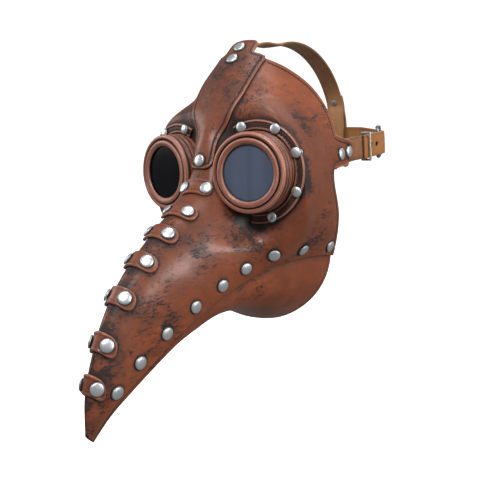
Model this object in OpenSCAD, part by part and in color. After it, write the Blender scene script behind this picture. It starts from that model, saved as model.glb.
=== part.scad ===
// Beaked leather face mask with riveted trim, goggle eyes and a buckled head harness.
// Frame: +Z up, the beak points along -Y, +X is the wearer's left. The origin is inside
// the wearer's head, on its upright centre line at the height of the eyes.

/* [Leather] */
// Thickness of the face and jaw panels
leather_t = 2.6; // [2:0.1:3]
// Thickness of the forehead strip and the ridge bands
trim_t = 2.4; // [1.8:0.1:2.8]
// Width of the bands across the ridge of the beak
band_w = 14.5; // [12:0.5:17]

/* [Eyes] */
// Half the distance between the centres of the two eyecups where they meet the face
eye_x = 43.1; // [42:0.1:45]
// Turn of each eyecup towards its own side
eye_turn = 9.8; // [8:0.2:12]
// Outer radius of the eyecup
cup_r = 34; // [33:0.2:34.4]
// Height of the eyecup above the face
cup_h = 15.5; // [14:0.5:17]
// Outer radius of the riveted ring round the eyecup
flange_r = 43; // [42:0.5:44]
// Outer radius of the front rim
rim_r = 33; // [32:0.5:34]
// Clear radius inside the lens ring
view_r = 22.9; // [21:0.5:24]

/* [Rivets] */
// Radius of a rivet's domed cap
cap_r = 5.2; // [4.5:0.1:5.6]
// Height of the dome
cap_h = 2.3; // [1.8:0.1:2.8]

/* [Harness] */
// Width of the straps
strap_w = 22; // [20:0.5:23]
// Thickness of the straps
strap_t = 2.4; // [2:0.1:2.6]
// Rise of the back strap from the face to the back of the head, in degrees
strap_rise = 8.8; // [6:0.2:12]
// Distance between a buckle's hinge bar and its far bar
buckle_l = 21; // [20:0.5:23]

/* [Hidden] */
$fn = 48;

// Stations of the shell from the brow (first) to the tip of the beak (last).
// Middle line of the face, [y, z]
brow = [[-90, 104], [-109, 82], [-125, 54], [-136, 28], [-141, 6], [-149, -13], [-167, -27],
    [-188, -41], [-209.5, -58.5], [-229.5, -78], [-246.5, -100.5], [-259.5, -128],
    [-268.5, -157], [-270.5, -186]];
// Seam between face and jaw on the wearer's left, [x, y, z]
seam = [[67, -30, -78], [66, -48, -76], [63, -68, -75.5], [57, -88, -77.5], [50, -104, -80.5],
    [43, -119, -86], [36, -134, -93.5], [30, -152, -102], [25, -172, -113.5],
    [19.5, -193, -127], [14.5, -213, -143], [10, -235, -159], [5.5, -252, -174],
    [1.6, -266, -191.5]];
// Middle line of the underside, [y, z]
keel = [[-52, -143], [-62, -141], [-74, -137.5], [-87, -132], [-100, -127], [-114, -123.5],
    [-129, -122.5], [-145, -124], [-163, -129.5], [-183, -137.5], [-203, -149],
    [-226, -163.5], [-247, -177.5], [-263.5, -193]];
// Sideways pull of each section as it leaves the middle line
brow_pull = [60, 58, 62, 66, 46, 27, 22, 18.5, 17, 15.5, 12.5, 9.5, 6, 2];
// Pull of each section as it comes into the seam, measured from the seam, [x, y, z]
cheek_pull = [[35, -2, 108], [44, -16, 94], [49, -24, 78], [56, -14, 66], [48, -10, 45],
    [20, -3, 35], [12, -12, 34], [9, -16, 32], [6.5, -18, 29.5], [5.5, -18, 27], [4, -16, 24],
    [3.5, -12, 18], [2.5, -8, 10], [0.4, -2, 2]];
// Downward pull of each jaw section as it leaves the seam
jaw_pull = [30, 30, 31, 31, 27, 22, 17, 14, 11, 8, 5.5, 4.5, 3.5, 1];
// Shift of the back edge of the face, in y, at even steps from the middle line to the seam
edge_shift = [0, 3, 11, 16, 13, 3, -14, -5, 0];

function mix(a, b, f) = a + (b - a) * f;
function clamp(f) = max(0, min(1, f));
function ease(f) = let (c = clamp(f)) c * c * (3 - 2 * c);
function unit(v) = v / norm(v);
// Catmull-Rom curve through the points p, u from 0 to 1
function curve(p, u) = let (n = len(p) - 1, i = min(n - 1, floor(u * n)), f = u * n - i,
    b = p[i], c = p[i + 1],
    a = i > 0 ? p[i - 1] : 2 * b - c,
    d = i < n - 1 ? p[i + 2] : 2 * c - b)
    b + 0.5 * f * (c - a + f * (2 * a - 5 * b + 4 * c - d + f * (3 * (b - c) + d - a)));
function bezier(a, b, c, d, t) = let (r = 1 - t)
    r * r * r * a + 3 * r * r * t * b + 3 * r * t * t * c + t * t * t * d;
function middle(list, s) = let (p = curve(list, s)) [0, p[0], p[1]];

// Eye plane: where the eyecup meets the face
eye_y = -119.5;
eye_z = 0.7;
eye_dip = 2;
eye = [eye_x, eye_y, eye_z];
eye_n = [sin(eye_turn) * cos(eye_dip), -cos(eye_turn) * cos(eye_dip), -sin(eye_dip)];
eye_side = unit(cross([0, 0, 1], eye_n));
eye_up = cross(eye_n, eye_side);
// The face is pressed flat round the eye, but not on the bridge of the nose nor far behind it
flat_turn = 15;
flat_r = 45;
flat_fade = 20;
nose_from = -38;
nose_fade = 26;
flat_depth = 14;
function pressed(p) = let (d = p - eye, h = d * eye_n, u = d * eye_side, v = d * eye_up,
    r = norm([u, v]), q = u * cos(flat_turn) + v * sin(flat_turn),
    w = (1 - ease((r - flat_r) / flat_fade)) * ease((q - nose_from) / nose_fade)
        * (1 - ease((-h - flat_depth) / flat_depth)))
    p - h * w * eye_n;

// Strap tab: the back edge of the face runs out into it at tab_t, tab_reach long
tab_t = 0.66;
tab_half = 0.052;
tab_reach = 29;
tab_x = 78.6;
tab_fillet = 0.028;
function tab_bump(t) = ease((tab_half + 0.012 - abs(t - tab_t)) / tab_fillet);

// Face surface on the wearer's left: s from back edge to tip, t from middle line to seam
function face(s, t) = let (
    a = middle(brow, s), d = curve(seam, s),
    p = bezier(a, a + [curve(brow_pull, s), 0, 0], d + curve(cheek_pull, s), d, t),
    near = 1 - ease(s / 0.16), close = 1 - ease(s / 0.075),
    tab = tab_bump(t) * close,
    shift = curve(edge_shift, t) * near + tab_reach * tab)
    pressed([mix(p[0], tab_x, tab), p[1] + shift, p[2]]);
// Jaw surface on the wearer's left: t from seam to keel
function jaw(s, t) = let (
    a = curve(seam, s), d = middle(keel, s))
    bezier(a, a + [-0.02 * a[0], 0, -curve(jaw_pull, s)], d + [0.6 * a[0], 0, 0], d, t);
// Step of the parameters when a normal is taken
step = 0.004;
function face_n(s, t) = unit(cross(
    face(min(1, s + step), t) - face(max(0, s - step), t),
    face(s, min(1, t + step)) - face(s, max(0, t - step))));
// Walls thin out where the beak closes
thin_from = 0.88;
tip_share = 0.2;
function wall(s) = leather_t * mix(1, tip_share, ease((s - thin_from) / (1 - thin_from)));

// A closed sheet: the grid is its outer face, thick its depth at each row
function grid_n(g, i, j) = let (n = len(g) - 1, m = len(g[0]) - 1) unit(cross(
    g[min(n, i + 1)][j] - g[max(0, i - 1)][j],
    g[i][min(m, j + 1)] - g[i][max(0, j - 1)]));
function keep_side(p, gap) = gap > 0 ? [max(p[0], gap), p[1], p[2]] : p;
module sheet(g, thick, gap = 0) {
    n = len(g) - 1;
    m = len(g[0]) - 1;
    w = m + 1;
    k = (n + 1) * w;
    outer = [for (i = [0:n]) for (j = [0:m]) keep_side(g[i][j], gap)];
    inner = [for (i = [0:n]) for (j = [0:m])
        keep_side(g[i][j] - thick[i] * grid_n(g, i, j), gap)];
    skin = [for (i = [0:n - 1]) for (j = [0:m - 1])
        let (a = i * w + j, b = a + w, c = a + 1, d = b + 1)
        each [[a, c, b], [b, c, d], [k + a, k + b, k + c], [k + b, k + d, k + c]]];
    ends = [for (j = [0:m - 1]) let (a = j, c = j + 1, b = n * w + j, d = b + 1)
        each [[a, k + c, c], [a, k + a, k + c], [b, d, k + d], [b, k + d, k + b]]];
    sides = [for (i = [0:n - 1]) let (a = i * w, b = a + w, c = a + m, d = b + m)
        each [[a, b, k + b], [a, k + b, k + a], [d, c, k + c], [d, k + c, k + d]]];
    polyhedron(concat(outer, inner), concat(skin, ends, sides), convexity = 8);
}

// Rows of the grids: closer together at the tab, the seam and the tip
s_rows = [for (i = [0:51]) i / 52, 0.99, 1];
t_rows = [0, 0.03, 0.07, 0.12, 0.18, 0.24, 0.3, 0.36, 0.42, 0.48, 0.54, 0.58, 0.597, 0.608,
    0.622, 0.66, 0.698, 0.712, 0.723, 0.75, 0.79, 0.84, 0.89, 0.93, 0.96, 1];
jaw_rows = [0, 0.1, 0.22, 0.36, 0.5, 0.65, 0.8, 0.9];
// Share of the lap by which the jaw reaches up inside the face
tuck_rows = [1, 0.66, 0.33];
tuck_end = [0.06, 0.17];
tuck_run = 0.35;
function tuck(s) = mix(tuck_end[0], tuck_end[1], ease(s / tuck_run));
// Room at the middle line and between face and jaw where they lap
mid_gap = 0.15;
lap_gap = 0.15;

module side(left) {
    if (left) children();
    else mirror([1, 0, 0]) children();
}
// Puts children on the face at p with +Z along n
module on_surface(p, n) {
    turn = atan2(n[1], n[0]);
    tilt = acos(n[2]);
    translate(p) rotate([0, tilt, turn]) children();
}
module at_eye() on_surface(eye, eye_n) children();

module face_panel() difference() {
    sheet([for (s = s_rows) [for (t = t_rows) face(s, t)]], [for (s = s_rows) wall(s)], mid_gap);
    at_eye() translate([0, 0, -30]) cylinder(h = 60, r = cup_r + 0.2, $fn = 96);
}
module left_face_panel() color([0.49, 0.24, 0.16]) face_panel();
module right_face_panel() color([0.49, 0.24, 0.16]) side(false) face_panel();

function jaw_point(s, t) = jaw(s, t)
    - (wall(s) + lap_gap) * (1 - ease(t / 0.5)) * unit(cross(
        jaw(min(1, s + step), t) - jaw(max(0, s - step), t),
        jaw(s, min(1, t + step)) - jaw(s, max(0, t - step))));
function tuck_point(s, t) = face(s, 1 - t) - (wall(s) + lap_gap) * face_n(s, 1 - t);
function half_jaw(s) = concat([for (f = tuck_rows) tuck_point(s, f * tuck(s))],
    [for (t = jaw_rows) jaw_point(s, t)]);
function flip(p) = [-p[0], p[1], p[2]];
module jaw_panel() color([0.47, 0.22, 0.15])
    sheet([for (s = s_rows) let (h = half_jaw(s), n = len(h) - 1)
        concat(h, [middle(keel, s)], [for (i = [n:-1:0]) flip(h[i])])],
        [for (s = s_rows) wall(s)]);

// Parameter t at which the face is r away from its middle line at station s
function t_at(s, r, low = 0, high = 0.7, n = 14) = n == 0 ? (low + high) / 2
    : let (m = (low + high) / 2)
    norm(face(s, m) - face(s, 0)) < r ? t_at(s, r, m, high, n - 1) : t_at(s, r, low, m, n - 1);
// Point a height h above the face at station s, r across; negative s runs off the brow in mm
brow_run = unit([0, 1, 1]);
function above(s, r, h) = let (
    q = max(0, s), t = t_at(q, abs(r)), p = face(q, t) + h * face_n(q, t),
    off = s < 0 ? -s * brow_run : [0, 0, 0])
    (r < 0 ? flip(p) : p) + off;

// Forehead strip: [station, half width]; negative stations are the tab above the brow, in mm
strip_rings = [[-17, 10], [-16, 12.5], [-13.5, 14.5], [-8, 15], [-1, 16], [0, 26], [0.03, 26.5],
    [0.07, 26.5], [0.11, 25.5], [0.15, 22.5], [0.19, 17.5], [0.23, 12.5], [0.26, 11.2],
    [0.285, 11], [0.3, 10.6], [0.311, 9], [0.318, 5.5]];
strip_cols = [-1, -0.85, -0.6, -0.3, 0, 0.3, 0.6, 0.85, 1];
strip_gap = 0.25;
module forehead_strip() color([0.48, 0.22, 0.14])
    sheet([for (r = strip_rings) [for (f = strip_cols) above(r[0], f * r[1], strip_gap + trim_t)]],
        [for (r = strip_rings) trim_t]);

// Ridge bands: station on the ridge, distance of the rivets from the middle line, half length
band_s = [0.378, 0.477, 0.558, 0.64, 0.73, 0.823, 0.901];
band_r = [11.4, 10.5, 9.8, 9, 8, 7.4, 6.8];
band_reach = [15.6, 18.2, 17.6, 16.8, 15.8, 14.8, 13.8];
band_round = 0.85;
band_rows = [-1, -0.8, -0.4, 0, 0.4, 0.8, 1];
band_cols = [-1, -0.96, -0.88, -0.75, -0.55, -0.35, -0.15, 0,
    0.15, 0.35, 0.55, 0.75, 0.88, 0.96, 1];
module ridge_band(k) color([0.5, 0.22, 0.13]) {
    reach = band_reach[k];
    half = band_w / 2;
    round_l = band_round * half;
    run = 0.02;
    speed = norm(middle(brow, band_s[k] + run) - middle(brow, band_s[k] - run)) / (2 * run);
    sheet([for (r = band_rows) [for (f = band_cols)
        let (past = clamp((abs(f) * reach - reach + round_l) / round_l),
            w = half * sqrt(1.04 - past * past) / sqrt(1.04))
        above(band_s[k] + r * w / speed, f * reach, strip_gap + trim_t)]],
        [for (r = band_rows) trim_t]);
}

// Domed rivet, its foot on the surface at z = 0, with the post and burr washer behind it
post_r = 1.6;
burr_r = 3.2;
burr_h = 1;
cap_edge = 0.45;
module rivet(grip, cap = cap_r, burr = burr_r) {
    rotate_extrude($fn = 36) polygon([[0, -grip - burr_h], [burr, -grip - burr_h],
        [burr, -grip], [post_r, -grip], [post_r, 0], [cap, 0], [cap, cap_edge],
        for (a = [75:-15:0]) [cap * sin(a), cap_edge + (cap_h - cap_edge) * cos(a)]]);
}
module rivet_above(s, r, grip, burr = burr_r) {
    q = max(0, s);
    n = face_n(q, t_at(q, abs(r)));
    on_surface(above(s, r, strip_gap + trim_t), r < 0 ? flip(n) : n)
        rivet(strip_gap + trim_t + grip, cap_r, burr);
}
ridge_burr_r = 2.4;
module ridge_band_rivets() color([0.78, 0.79, 0.8])
    for (k = [0:len(band_s) - 1]) for (m = [-1, 1])
        rivet_above(band_s[k], m * band_r[k], wall(band_s[k]), ridge_burr_r);

// Seam rivets, from the tip back: station along the seam and distance up from it
seam_rivets = [[0.879, 0.84], [0.8, 0.85], [0.714, 0.875], [0.62, 0.89], [0.526, 0.9],
    [0.438, 0.88], [0.342, 0.88], [0.204, 0.95], [0.05, 0.968]];
module seam_rivet_row() for (q = seam_rivets)
    on_surface(face(q[0], q[1]), face_n(q[0], q[1])) rivet(2 * wall(q[0]) + lap_gap);
module left_seam_rivets() color([0.78, 0.79, 0.8]) seam_rivet_row();
module right_seam_rivets() color([0.78, 0.79, 0.8]) side(false) seam_rivet_row();

// Forehead rivets: two at the tab, which also hold the crown strap, and one at the bridge
crown_gap = 1.6;
module forehead_rivets() color([0.72, 0.73, 0.74]) {
    rivet_above(-6, 0, leather_t + strap_t + crown_gap);
    rivet_above(0.026, 0, leather_t + strap_t + crown_gap);
    rivet_above(0.294, 0, leather_t);
}

// Eye pieces, drawn about the eyecup's axis with the face at z = 0
flange_t = 2.8;
module ring(r_in, r_out, h) difference() {
    cylinder(h = h, r = r_out, $fn = 96);
    translate([0, 0, -1]) cylinder(h = h + 2, r = r_in, $fn = 96);
}
// The eye frame turned so that local x points away from the nose and y up
module eye_frame() {
    multmatrix([[eye_side[0], eye_up[0], eye_n[0], eye[0]],
        [eye_side[1], eye_up[1], eye_n[1], eye[1]],
        [eye_side[2], eye_up[2], eye_n[2], eye[2]], [0, 0, 0, 1]]) children();
}
flange_from = -98;
flange_to = 120;
flange_gap = 0.3;
module eye_flange() eye_frame() translate([0, 0, flange_gap]) difference() {
    ring(cup_r + flange_gap, flange_r, flange_t);
    // the ring stops at the bridge of the nose
    translate([0, 0, -1]) linear_extrude(flange_t + 2) polygon([[0, 0],
        for (a = [flange_to, 150, 190, 230, 360 + flange_from]) 70 * [cos(a), sin(a)]]);
}
module left_eye_flange() color([0.36, 0.17, 0.11]) eye_flange();
module right_eye_flange() color([0.36, 0.17, 0.11]) side(false) eye_flange();

flange_rivet_a = [109, 63, 24, -23, -69];
flange_rivet_r = (cup_r + flange_r) / 2 + 0.6;
flange_cap_r = 4.4;
module flange_rivets() eye_frame() for (a = flange_rivet_a)
    rotate([0, 0, a]) translate([flange_rivet_r, 0, flange_gap + flange_t])
        rivet(flange_gap + flange_t + leather_t, flange_cap_r);
module left_flange_rivets() color([0.78, 0.79, 0.8]) flange_rivets();
module right_flange_rivets() color([0.78, 0.79, 0.8]) side(false) flange_rivets();

lens_t = 2;
module eyecup() eye_frame() rotate_extrude($fn = 96) polygon([[27, -6], [cup_r, -6],
    [cup_r, 3.4], [cup_r - 1.4, 4], [cup_r - 1.4, 6.2], [cup_r - 0.5, 7], [cup_r - 0.5, 8.6],
    [cup_r - 1.8, 9.4], [cup_r - 1.8, 11.8], [cup_r - 3, 12.6], [cup_r - 3, cup_h],
    [25.5, cup_h], [25.5, cup_h - 2], [27, cup_h - 3.5]]);
module left_eyecup() color([0.42, 0.2, 0.13]) eyecup();
module right_eyecup() color([0.42, 0.2, 0.13]) side(false) eyecup();

groove_r = 28.6;
module rim() eye_frame() rotate_extrude($fn = 96) polygon([[groove_r + 0.3, cup_h + 0.05],
    [rim_r - 0.6, cup_h + 0.05], [rim_r, cup_h + 0.8], [rim_r, cup_h + 2.8],
    [rim_r - 0.8, cup_h + 4.1], [rim_r - 2, cup_h + 4.5], [groove_r + 1, cup_h + 4.1],
    [groove_r + 0.3, cup_h + 3.2]]);
module left_rim() color([0.56, 0.33, 0.27]) rim();
module right_rim() color([0.56, 0.33, 0.27]) side(false) rim();

module lens() eye_frame() translate([0, 0, cup_h + 0.05])
    cylinder(h = lens_t, r = groove_r - 0.6, $fn = 96);
module left_lens() color([0.2, 0.23, 0.28]) lens();
module right_lens() color([0.05, 0.05, 0.06]) side(false) lens();

ring_z = cup_h + lens_t + 0.1;
module lens_ring() eye_frame() rotate_extrude($fn = 96) polygon([[view_r, ring_z],
    [groove_r - 0.3, ring_z], [groove_r - 0.3, ring_z + 1.6], [groove_r - 1.2, ring_z + 2.5],
    [mix(view_r, groove_r, 0.5), ring_z + 2.9], [view_r + 1, ring_z + 2.2],
    [view_r, ring_z + 1.1]]);
module left_lens_ring() color([0.58, 0.34, 0.28]) lens_ring();
module right_lens_ring() color([0.58, 0.34, 0.28]) side(false) lens_ring();

// Harness. The back strap and its hardware are drawn flat, as (x, v) with v running
// back along the strap, and then raised into their sloping plane.
strap_z = 22.9;
module strap_plane() translate([0, 0, strap_z]) rotate([strap_rise, 0, 0]) children();
// A ribbon of even thickness along a path of points
function ribbon_n(p, i) = let (n = len(p) - 1, d = p[min(n, i + 1)] - p[max(0, i - 1)])
    [d[1], -d[0]] / norm(d);
function ribbon(p, t) = concat(
    [for (i = [0:len(p) - 1]) p[i] + t / 2 * ribbon_n(p, i)],
    [for (i = [len(p) - 1:-1:0]) p[i] - t / 2 * ribbon_n(p, i)]);
module strap(path, w = strap_w) linear_extrude(w, center = true) polygon(ribbon(path, strap_t));

// Buckle: hinge bar, direction of the frame and outward direction
bar = [76.2, 39.5];
frame_turn = 23.6;
frame_e = [-sin(frame_turn), cos(frame_turn)];
frame_o = [cos(frame_turn), sin(frame_turn)];
function in_buckle(e, o) = bar + e * frame_e + o * frame_o;
bar_r = 1.6;
far_r = 2;
far_o = 1;
bar_play = 0.08;
fold_r = bar_r + bar_play + strap_t / 2;
prong_half = 2;
prong_r = 1.2;

head_x = 78.4;
head_y = 98.6;
anchor_x = 77.6;
tongue_x = anchor_x + strap_t + 0.4;
// the anchor strap runs from inside the tab to the bar, round it and back on its inner side
module anchor_strap() strap_plane() difference() {
    strap(concat([[73.2, -48], [73.2, -34], [73.6, -22], [74.3, -9], [76, -2.5],
        [anchor_x, 3.5], [anchor_x, 20], [78, 31]],
        [for (a = [5:20:245]) bar + fold_r * [cos(a), sin(a)]],
        [[73.8, 33], [74.6, 27], [74.9, 22]]));
    // slot for the prong's eye
    translate([bar[0] - 10, bar[1] - 5.5, -prong_half - 0.6])
        cube([20, 12, 2 * prong_half + 1.2]);
}
module left_anchor_strap() color([0.55, 0.31, 0.16]) anchor_strap();
module right_anchor_strap() color([0.55, 0.31, 0.16]) side(false) anchor_strap();

// Rivets through the strap tab: one on the face behind it, one on the tab itself
tab_rivet_s = [0.033, 0.0145];
tab_rivet_t = 0.652;
tab_gap = 1.4;
module tab_rivets() for (s = tab_rivet_s)
    on_surface(face(s, tab_rivet_t), face_n(s, tab_rivet_t)) rivet(leather_t + strap_t + tab_gap);
module left_tab_rivets() color([0.78, 0.79, 0.8]) tab_rivets();
module right_tab_rivets() color([0.78, 0.79, 0.8]) side(false) tab_rivets();

// half of the back strap, from its tip on the wearer's left to the back of the head
half_back = concat([[tongue_x, 1], [tongue_x, 18], [81.4, 29], [82.2, 36], in_buckle(-0.5, 5.8),
    in_buckle(4.5, 4.7), in_buckle(12, 1), in_buckle(21, -2.6), in_buckle(27, -3.8)],
    [for (a = [62:7:90]) [head_x * cos(a), head_y * sin(a)]]);
function back_path() = concat(half_back,
    [for (i = [len(half_back) - 2:-1:0]) [-half_back[i][0], half_back[i][1]]]);
slot_half = 3.4;
module prong_slot() translate(concat(in_buckle(9, 2.4), [0])) rotate([0, 0, frame_turn])
    for (v = [-slot_half, slot_half]) translate([0, v, 0]) rotate([0, 90, 0])
        cylinder(h = 14, r = prong_r + 0.7, center = true);
hole_v = [14.5, 25.5];
hole_r = 1.9;
module back_strap() color([0.6, 0.33, 0.16]) strap_plane() difference() {
    strap(back_path());
    for (m = [0, 1]) mirror([m, 0, 0]) {
        hull() prong_slot();
        for (v = hole_v) translate([tongue_x, v, 0]) rotate([0, 90, 0])
            cylinder(h = 10, r = hole_r, center = true);
    }
}

// buckle frame: hinge bar, two side bars and the far bar, all round
frame_half = strap_w / 2 + 3;
module rod(a, b, r) {
    d = b - a;
    translate(a) rotate([0, acos(d[2] / norm(d)), atan2(d[1], d[0])]) cylinder(h = norm(d), r = r);
}
module buckle_frame() strap_plane() {
    near = concat(bar, [0]);
    far = concat(in_buckle(buckle_l, far_o), [0]);
    up = [0, 0, frame_half];
    rod(near - up, near + up, bar_r);
    rod(far - up, far + up, far_r);
    for (m = [-1, 1]) {
        rod(near + m * up, far + m * up, far_r);
        translate(near + m * up) sphere(r = far_r + 0.5);
        translate(far + m * up) sphere(r = far_r + 0.7);
    }
}
module left_buckle_frame() color([0.42, 0.42, 0.4]) buckle_frame();
module right_buckle_frame() color([0.42, 0.42, 0.4]) side(false) buckle_frame();

// Prong: an eye round the hinge bar and a pin that rests on the far bar
prong_eye_r = 3;
module buckle_prong() strap_plane() translate(concat(bar, [0])) {
    reach = in_buckle(buckle_l + 1.5, far_o + far_r + prong_r + 0.5) - bar;
    rotate([0, 0, atan2(reach[1], reach[0])]) {
        difference() {
            translate([0, 0, -prong_half]) cylinder(h = 2 * prong_half, r = prong_eye_r);
            translate([0, 0, -prong_half - 1])
                cylinder(h = 2 * prong_half + 2, r = bar_r + bar_play);
        }
        translate([prong_eye_r - 0.8, 0, 0]) rotate([0, 90, 0])
            cylinder(h = norm(reach) - prong_eye_r + 0.8, r = prong_r);
    }
}
module left_buckle_prong() color([0.45, 0.45, 0.43]) buckle_prong();
module right_buckle_prong() color([0.45, 0.45, 0.43]) side(false) buckle_prong();

// wire keeper round both layers of strap
keeper_v = 7.5;
wire_r = 1.1;
keeper_x = [anchor_x - strap_t / 2 - 0.5 - wire_r, tongue_x + strap_t / 2 + 0.7 + wire_r];
keeper_h = strap_w / 2 + 0.5 + wire_r;
module strap_keeper() strap_plane() {
    for (m = [-1, 1]) {
        rod([keeper_x[0], keeper_v, m * keeper_h], [keeper_x[1], keeper_v, m * keeper_h], wire_r);
        for (x = keeper_x) translate([x, keeper_v, m * keeper_h]) sphere(r = wire_r);
    }
    for (x = keeper_x) rod([x, keeper_v, -keeper_h], [x, keeper_v, keeper_h], wire_r);
}
module left_strap_keeper() color([0.8, 0.76, 0.66]) strap_keeper();
module right_strap_keeper() color([0.8, 0.76, 0.66]) side(false) strap_keeper();

// Crown strap, drawn in the upright middle plane as (y, z), over the crown and down to a
// loop round the back strap
crown_w = 20;
crown_z = 38;
crown_r = [97.2, 87];
function on_crown(a, out = 0) =
    [(crown_r[0] + out) * cos(a), crown_z + (crown_r[1] + out) * sin(a)];
// point (v, w) of the strap plane, as (y, z)
function loop(v, w) = [v * cos(strap_rise) - w * sin(strap_rise),
    strap_z + v * sin(strap_rise) + w * cos(strap_rise)];
loop_in = head_y - 3.8;
loop_out = head_y + 3;
loop_w = strap_w / 2 + 2;
lap = strap_t + 0.2;
crown_path = concat([[-98.2, 86.2], [-90.6, 94.5], [-85.6, 100.2], [-80, 108.2], [-73, 112.6],
    [-58, 117]], [for (a = [112:-8:24]) on_crown(a)],
    [[90, 64], loop(loop_in, 16), loop(loop_in, -loop_w), loop(loop_in + 1.2, -loop_w - 2.6),
    loop(head_y - 0.4, -loop_w - 3.6), loop(loop_out - 1.2, -loop_w - 2.6),
    loop(loop_out, -loop_w), loop(loop_out, 16), [93.8, 65.5]],
    [for (a = [24, 30]) on_crown(a, lap)]);
module crown_strap() color([0.62, 0.4, 0.22])
    rotate([90, 0, 90]) linear_extrude(crown_w, center = true)
        polygon(ribbon(crown_path, strap_t));
crown_rivet_a = 26;
// the strap's normal there, from the direction back
crown_rivet_n = crown_rivet_a + 2.6;
module crown_strap_rivet() color([0.78, 0.79, 0.8])
    translate(concat([0], on_crown(crown_rivet_a, lap + strap_t / 2)))
        rotate([crown_rivet_n - 90, 0, 0]) rivet(strap_t + lap + 0.1);

left_face_panel();
right_face_panel();
jaw_panel();
forehead_strip();
ridge_band(0);  // ridge_band_1
ridge_band(1);  // ridge_band_2
ridge_band(2);  // ridge_band_3
ridge_band(3);  // ridge_band_4
ridge_band(4);  // ridge_band_5
ridge_band(5);  // ridge_band_6
ridge_band(6);  // ridge_band_7
ridge_band_rivets();
left_seam_rivets();
right_seam_rivets();
forehead_rivets();
left_tab_rivets();
right_tab_rivets();
left_eye_flange();
right_eye_flange();
left_flange_rivets();
right_flange_rivets();
left_eyecup();
right_eyecup();
left_rim();
right_rim();
left_lens();
right_lens();
left_lens_ring();
right_lens_ring();
left_anchor_strap();
right_anchor_strap();
back_strap();
crown_strap();
crown_strap_rivet();
left_buckle_frame();
right_buckle_frame();
left_buckle_prong();
right_buckle_prong();
left_strap_keeper();
right_strap_keeper();
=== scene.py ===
from math import radians

import bmesh
import bpy
import numpy as np
from bpy.props import FloatProperty, FloatVectorProperty, IntProperty, PointerProperty
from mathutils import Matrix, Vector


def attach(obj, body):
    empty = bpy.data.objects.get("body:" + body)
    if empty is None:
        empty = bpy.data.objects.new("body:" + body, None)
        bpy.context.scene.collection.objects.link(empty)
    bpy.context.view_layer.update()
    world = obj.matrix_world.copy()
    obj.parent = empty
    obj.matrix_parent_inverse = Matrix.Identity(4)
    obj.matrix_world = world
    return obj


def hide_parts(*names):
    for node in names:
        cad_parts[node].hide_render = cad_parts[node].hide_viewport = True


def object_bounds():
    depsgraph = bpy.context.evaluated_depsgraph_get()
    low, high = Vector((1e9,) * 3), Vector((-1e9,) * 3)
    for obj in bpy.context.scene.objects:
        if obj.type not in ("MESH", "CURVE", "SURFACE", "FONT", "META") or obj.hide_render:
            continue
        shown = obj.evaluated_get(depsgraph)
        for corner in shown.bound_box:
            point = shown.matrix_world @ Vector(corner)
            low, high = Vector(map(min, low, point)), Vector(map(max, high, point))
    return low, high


bl_info = {
    "name": "Beaked Mask",
    "version": (1, 0, 0),
    "blender": (4, 5, 0),
    "location": "View3D > Sidebar > Mask",
    "description": "Builds a beaked leather mask with its rivets, goggle eyes and harness",
    "category": "Object",
}

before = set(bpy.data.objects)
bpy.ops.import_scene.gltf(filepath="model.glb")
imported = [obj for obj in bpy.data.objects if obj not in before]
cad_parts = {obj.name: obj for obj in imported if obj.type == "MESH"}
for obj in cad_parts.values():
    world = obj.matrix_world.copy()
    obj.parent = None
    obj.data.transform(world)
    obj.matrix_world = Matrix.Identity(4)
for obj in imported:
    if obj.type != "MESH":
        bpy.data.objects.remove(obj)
CAD_BOX = [list(corner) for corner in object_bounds()]
MM = 0.001
SIDES = {"left": 1.0, "right": -1.0}


# ---------------------------------------------------------------- shape of the shell, in mm

# Stations of the shell from the brow to the tip of the beak.
# Middle line of the face, (y, z)
BROW = np.array([
    (-90, 104), (-109, 82), (-125, 54), (-136, 28), (-141, 6), (-149, -13), (-167, -27),
    (-188, -41), (-209.5, -58.5), (-229.5, -78), (-246.5, -100.5), (-259.5, -128),
    (-268.5, -157), (-270.5, -186)], float)
# Seam between face and jaw on the wearer's left, (x, y, z)
SEAM = np.array([
    (67, -30, -78), (66, -48, -76), (63, -68, -75.5), (57, -88, -77.5), (50, -104, -80.5),
    (43, -119, -86), (36, -134, -93.5), (30, -152, -102), (25, -172, -113.5),
    (19.5, -193, -127), (14.5, -213, -143), (10, -235, -159), (5.5, -252, -174),
    (1.6, -266, -191.5)], float)
# Middle line of the underside, (y, z)
KEEL = np.array([
    (-52, -143), (-62, -141), (-74, -137.5), (-87, -132), (-100, -127), (-114, -123.5),
    (-129, -122.5), (-145, -124), (-163, -129.5), (-183, -137.5), (-203, -149),
    (-226, -163.5), (-247, -177.5), (-263.5, -193)], float)
# Pull of each section as it leaves the middle line, comes into the seam and leaves it below
BROW_PULL = np.array([60, 58, 62, 66, 46, 27, 22, 18.5, 17, 15.5, 12.5, 9.5, 6, 2], float)
CHEEK_PULL = np.array([
    (35, -2, 108), (44, -16, 94), (49, -24, 78), (56, -14, 66), (48, -10, 45), (20, -3, 35),
    (12, -12, 34), (9, -16, 32), (6.5, -18, 29.5), (5.5, -18, 27), (4, -16, 24),
    (3.5, -12, 18), (2.5, -8, 10), (0.4, -2, 2)], float)
JAW_PULL = np.array([30, 30, 31, 31, 27, 22, 17, 14, 11, 8, 5.5, 4.5, 3.5, 1], float)
# Shift of the back edge in y, at even steps from the middle line to the seam
EDGE_SHIFT = np.array([0, 3, 11, 16, 13, 3, -14, -5, 0], float)
TAB_T, TAB_HALF, TAB_REACH, TAB_X = 0.66, 0.052, 29.0, 78.6
EYE = np.array([43.1, -119.5, 0.7])
EYE_TURN, EYE_DIP, FLAT_TURN = radians(9.8), radians(2.0), radians(15.0)


def ease(f):
    """Smooth step from 0 to 1: 3 f squared minus 2 f cubed."""
    f = np.clip(f, 0, 1)
    return f * f * (3 - 2 * f)


def bell(x, width):
    """1 where x is zero, falling off as a Gaussian over that width."""
    return np.exp(-(x / width) ** 2)


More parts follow.
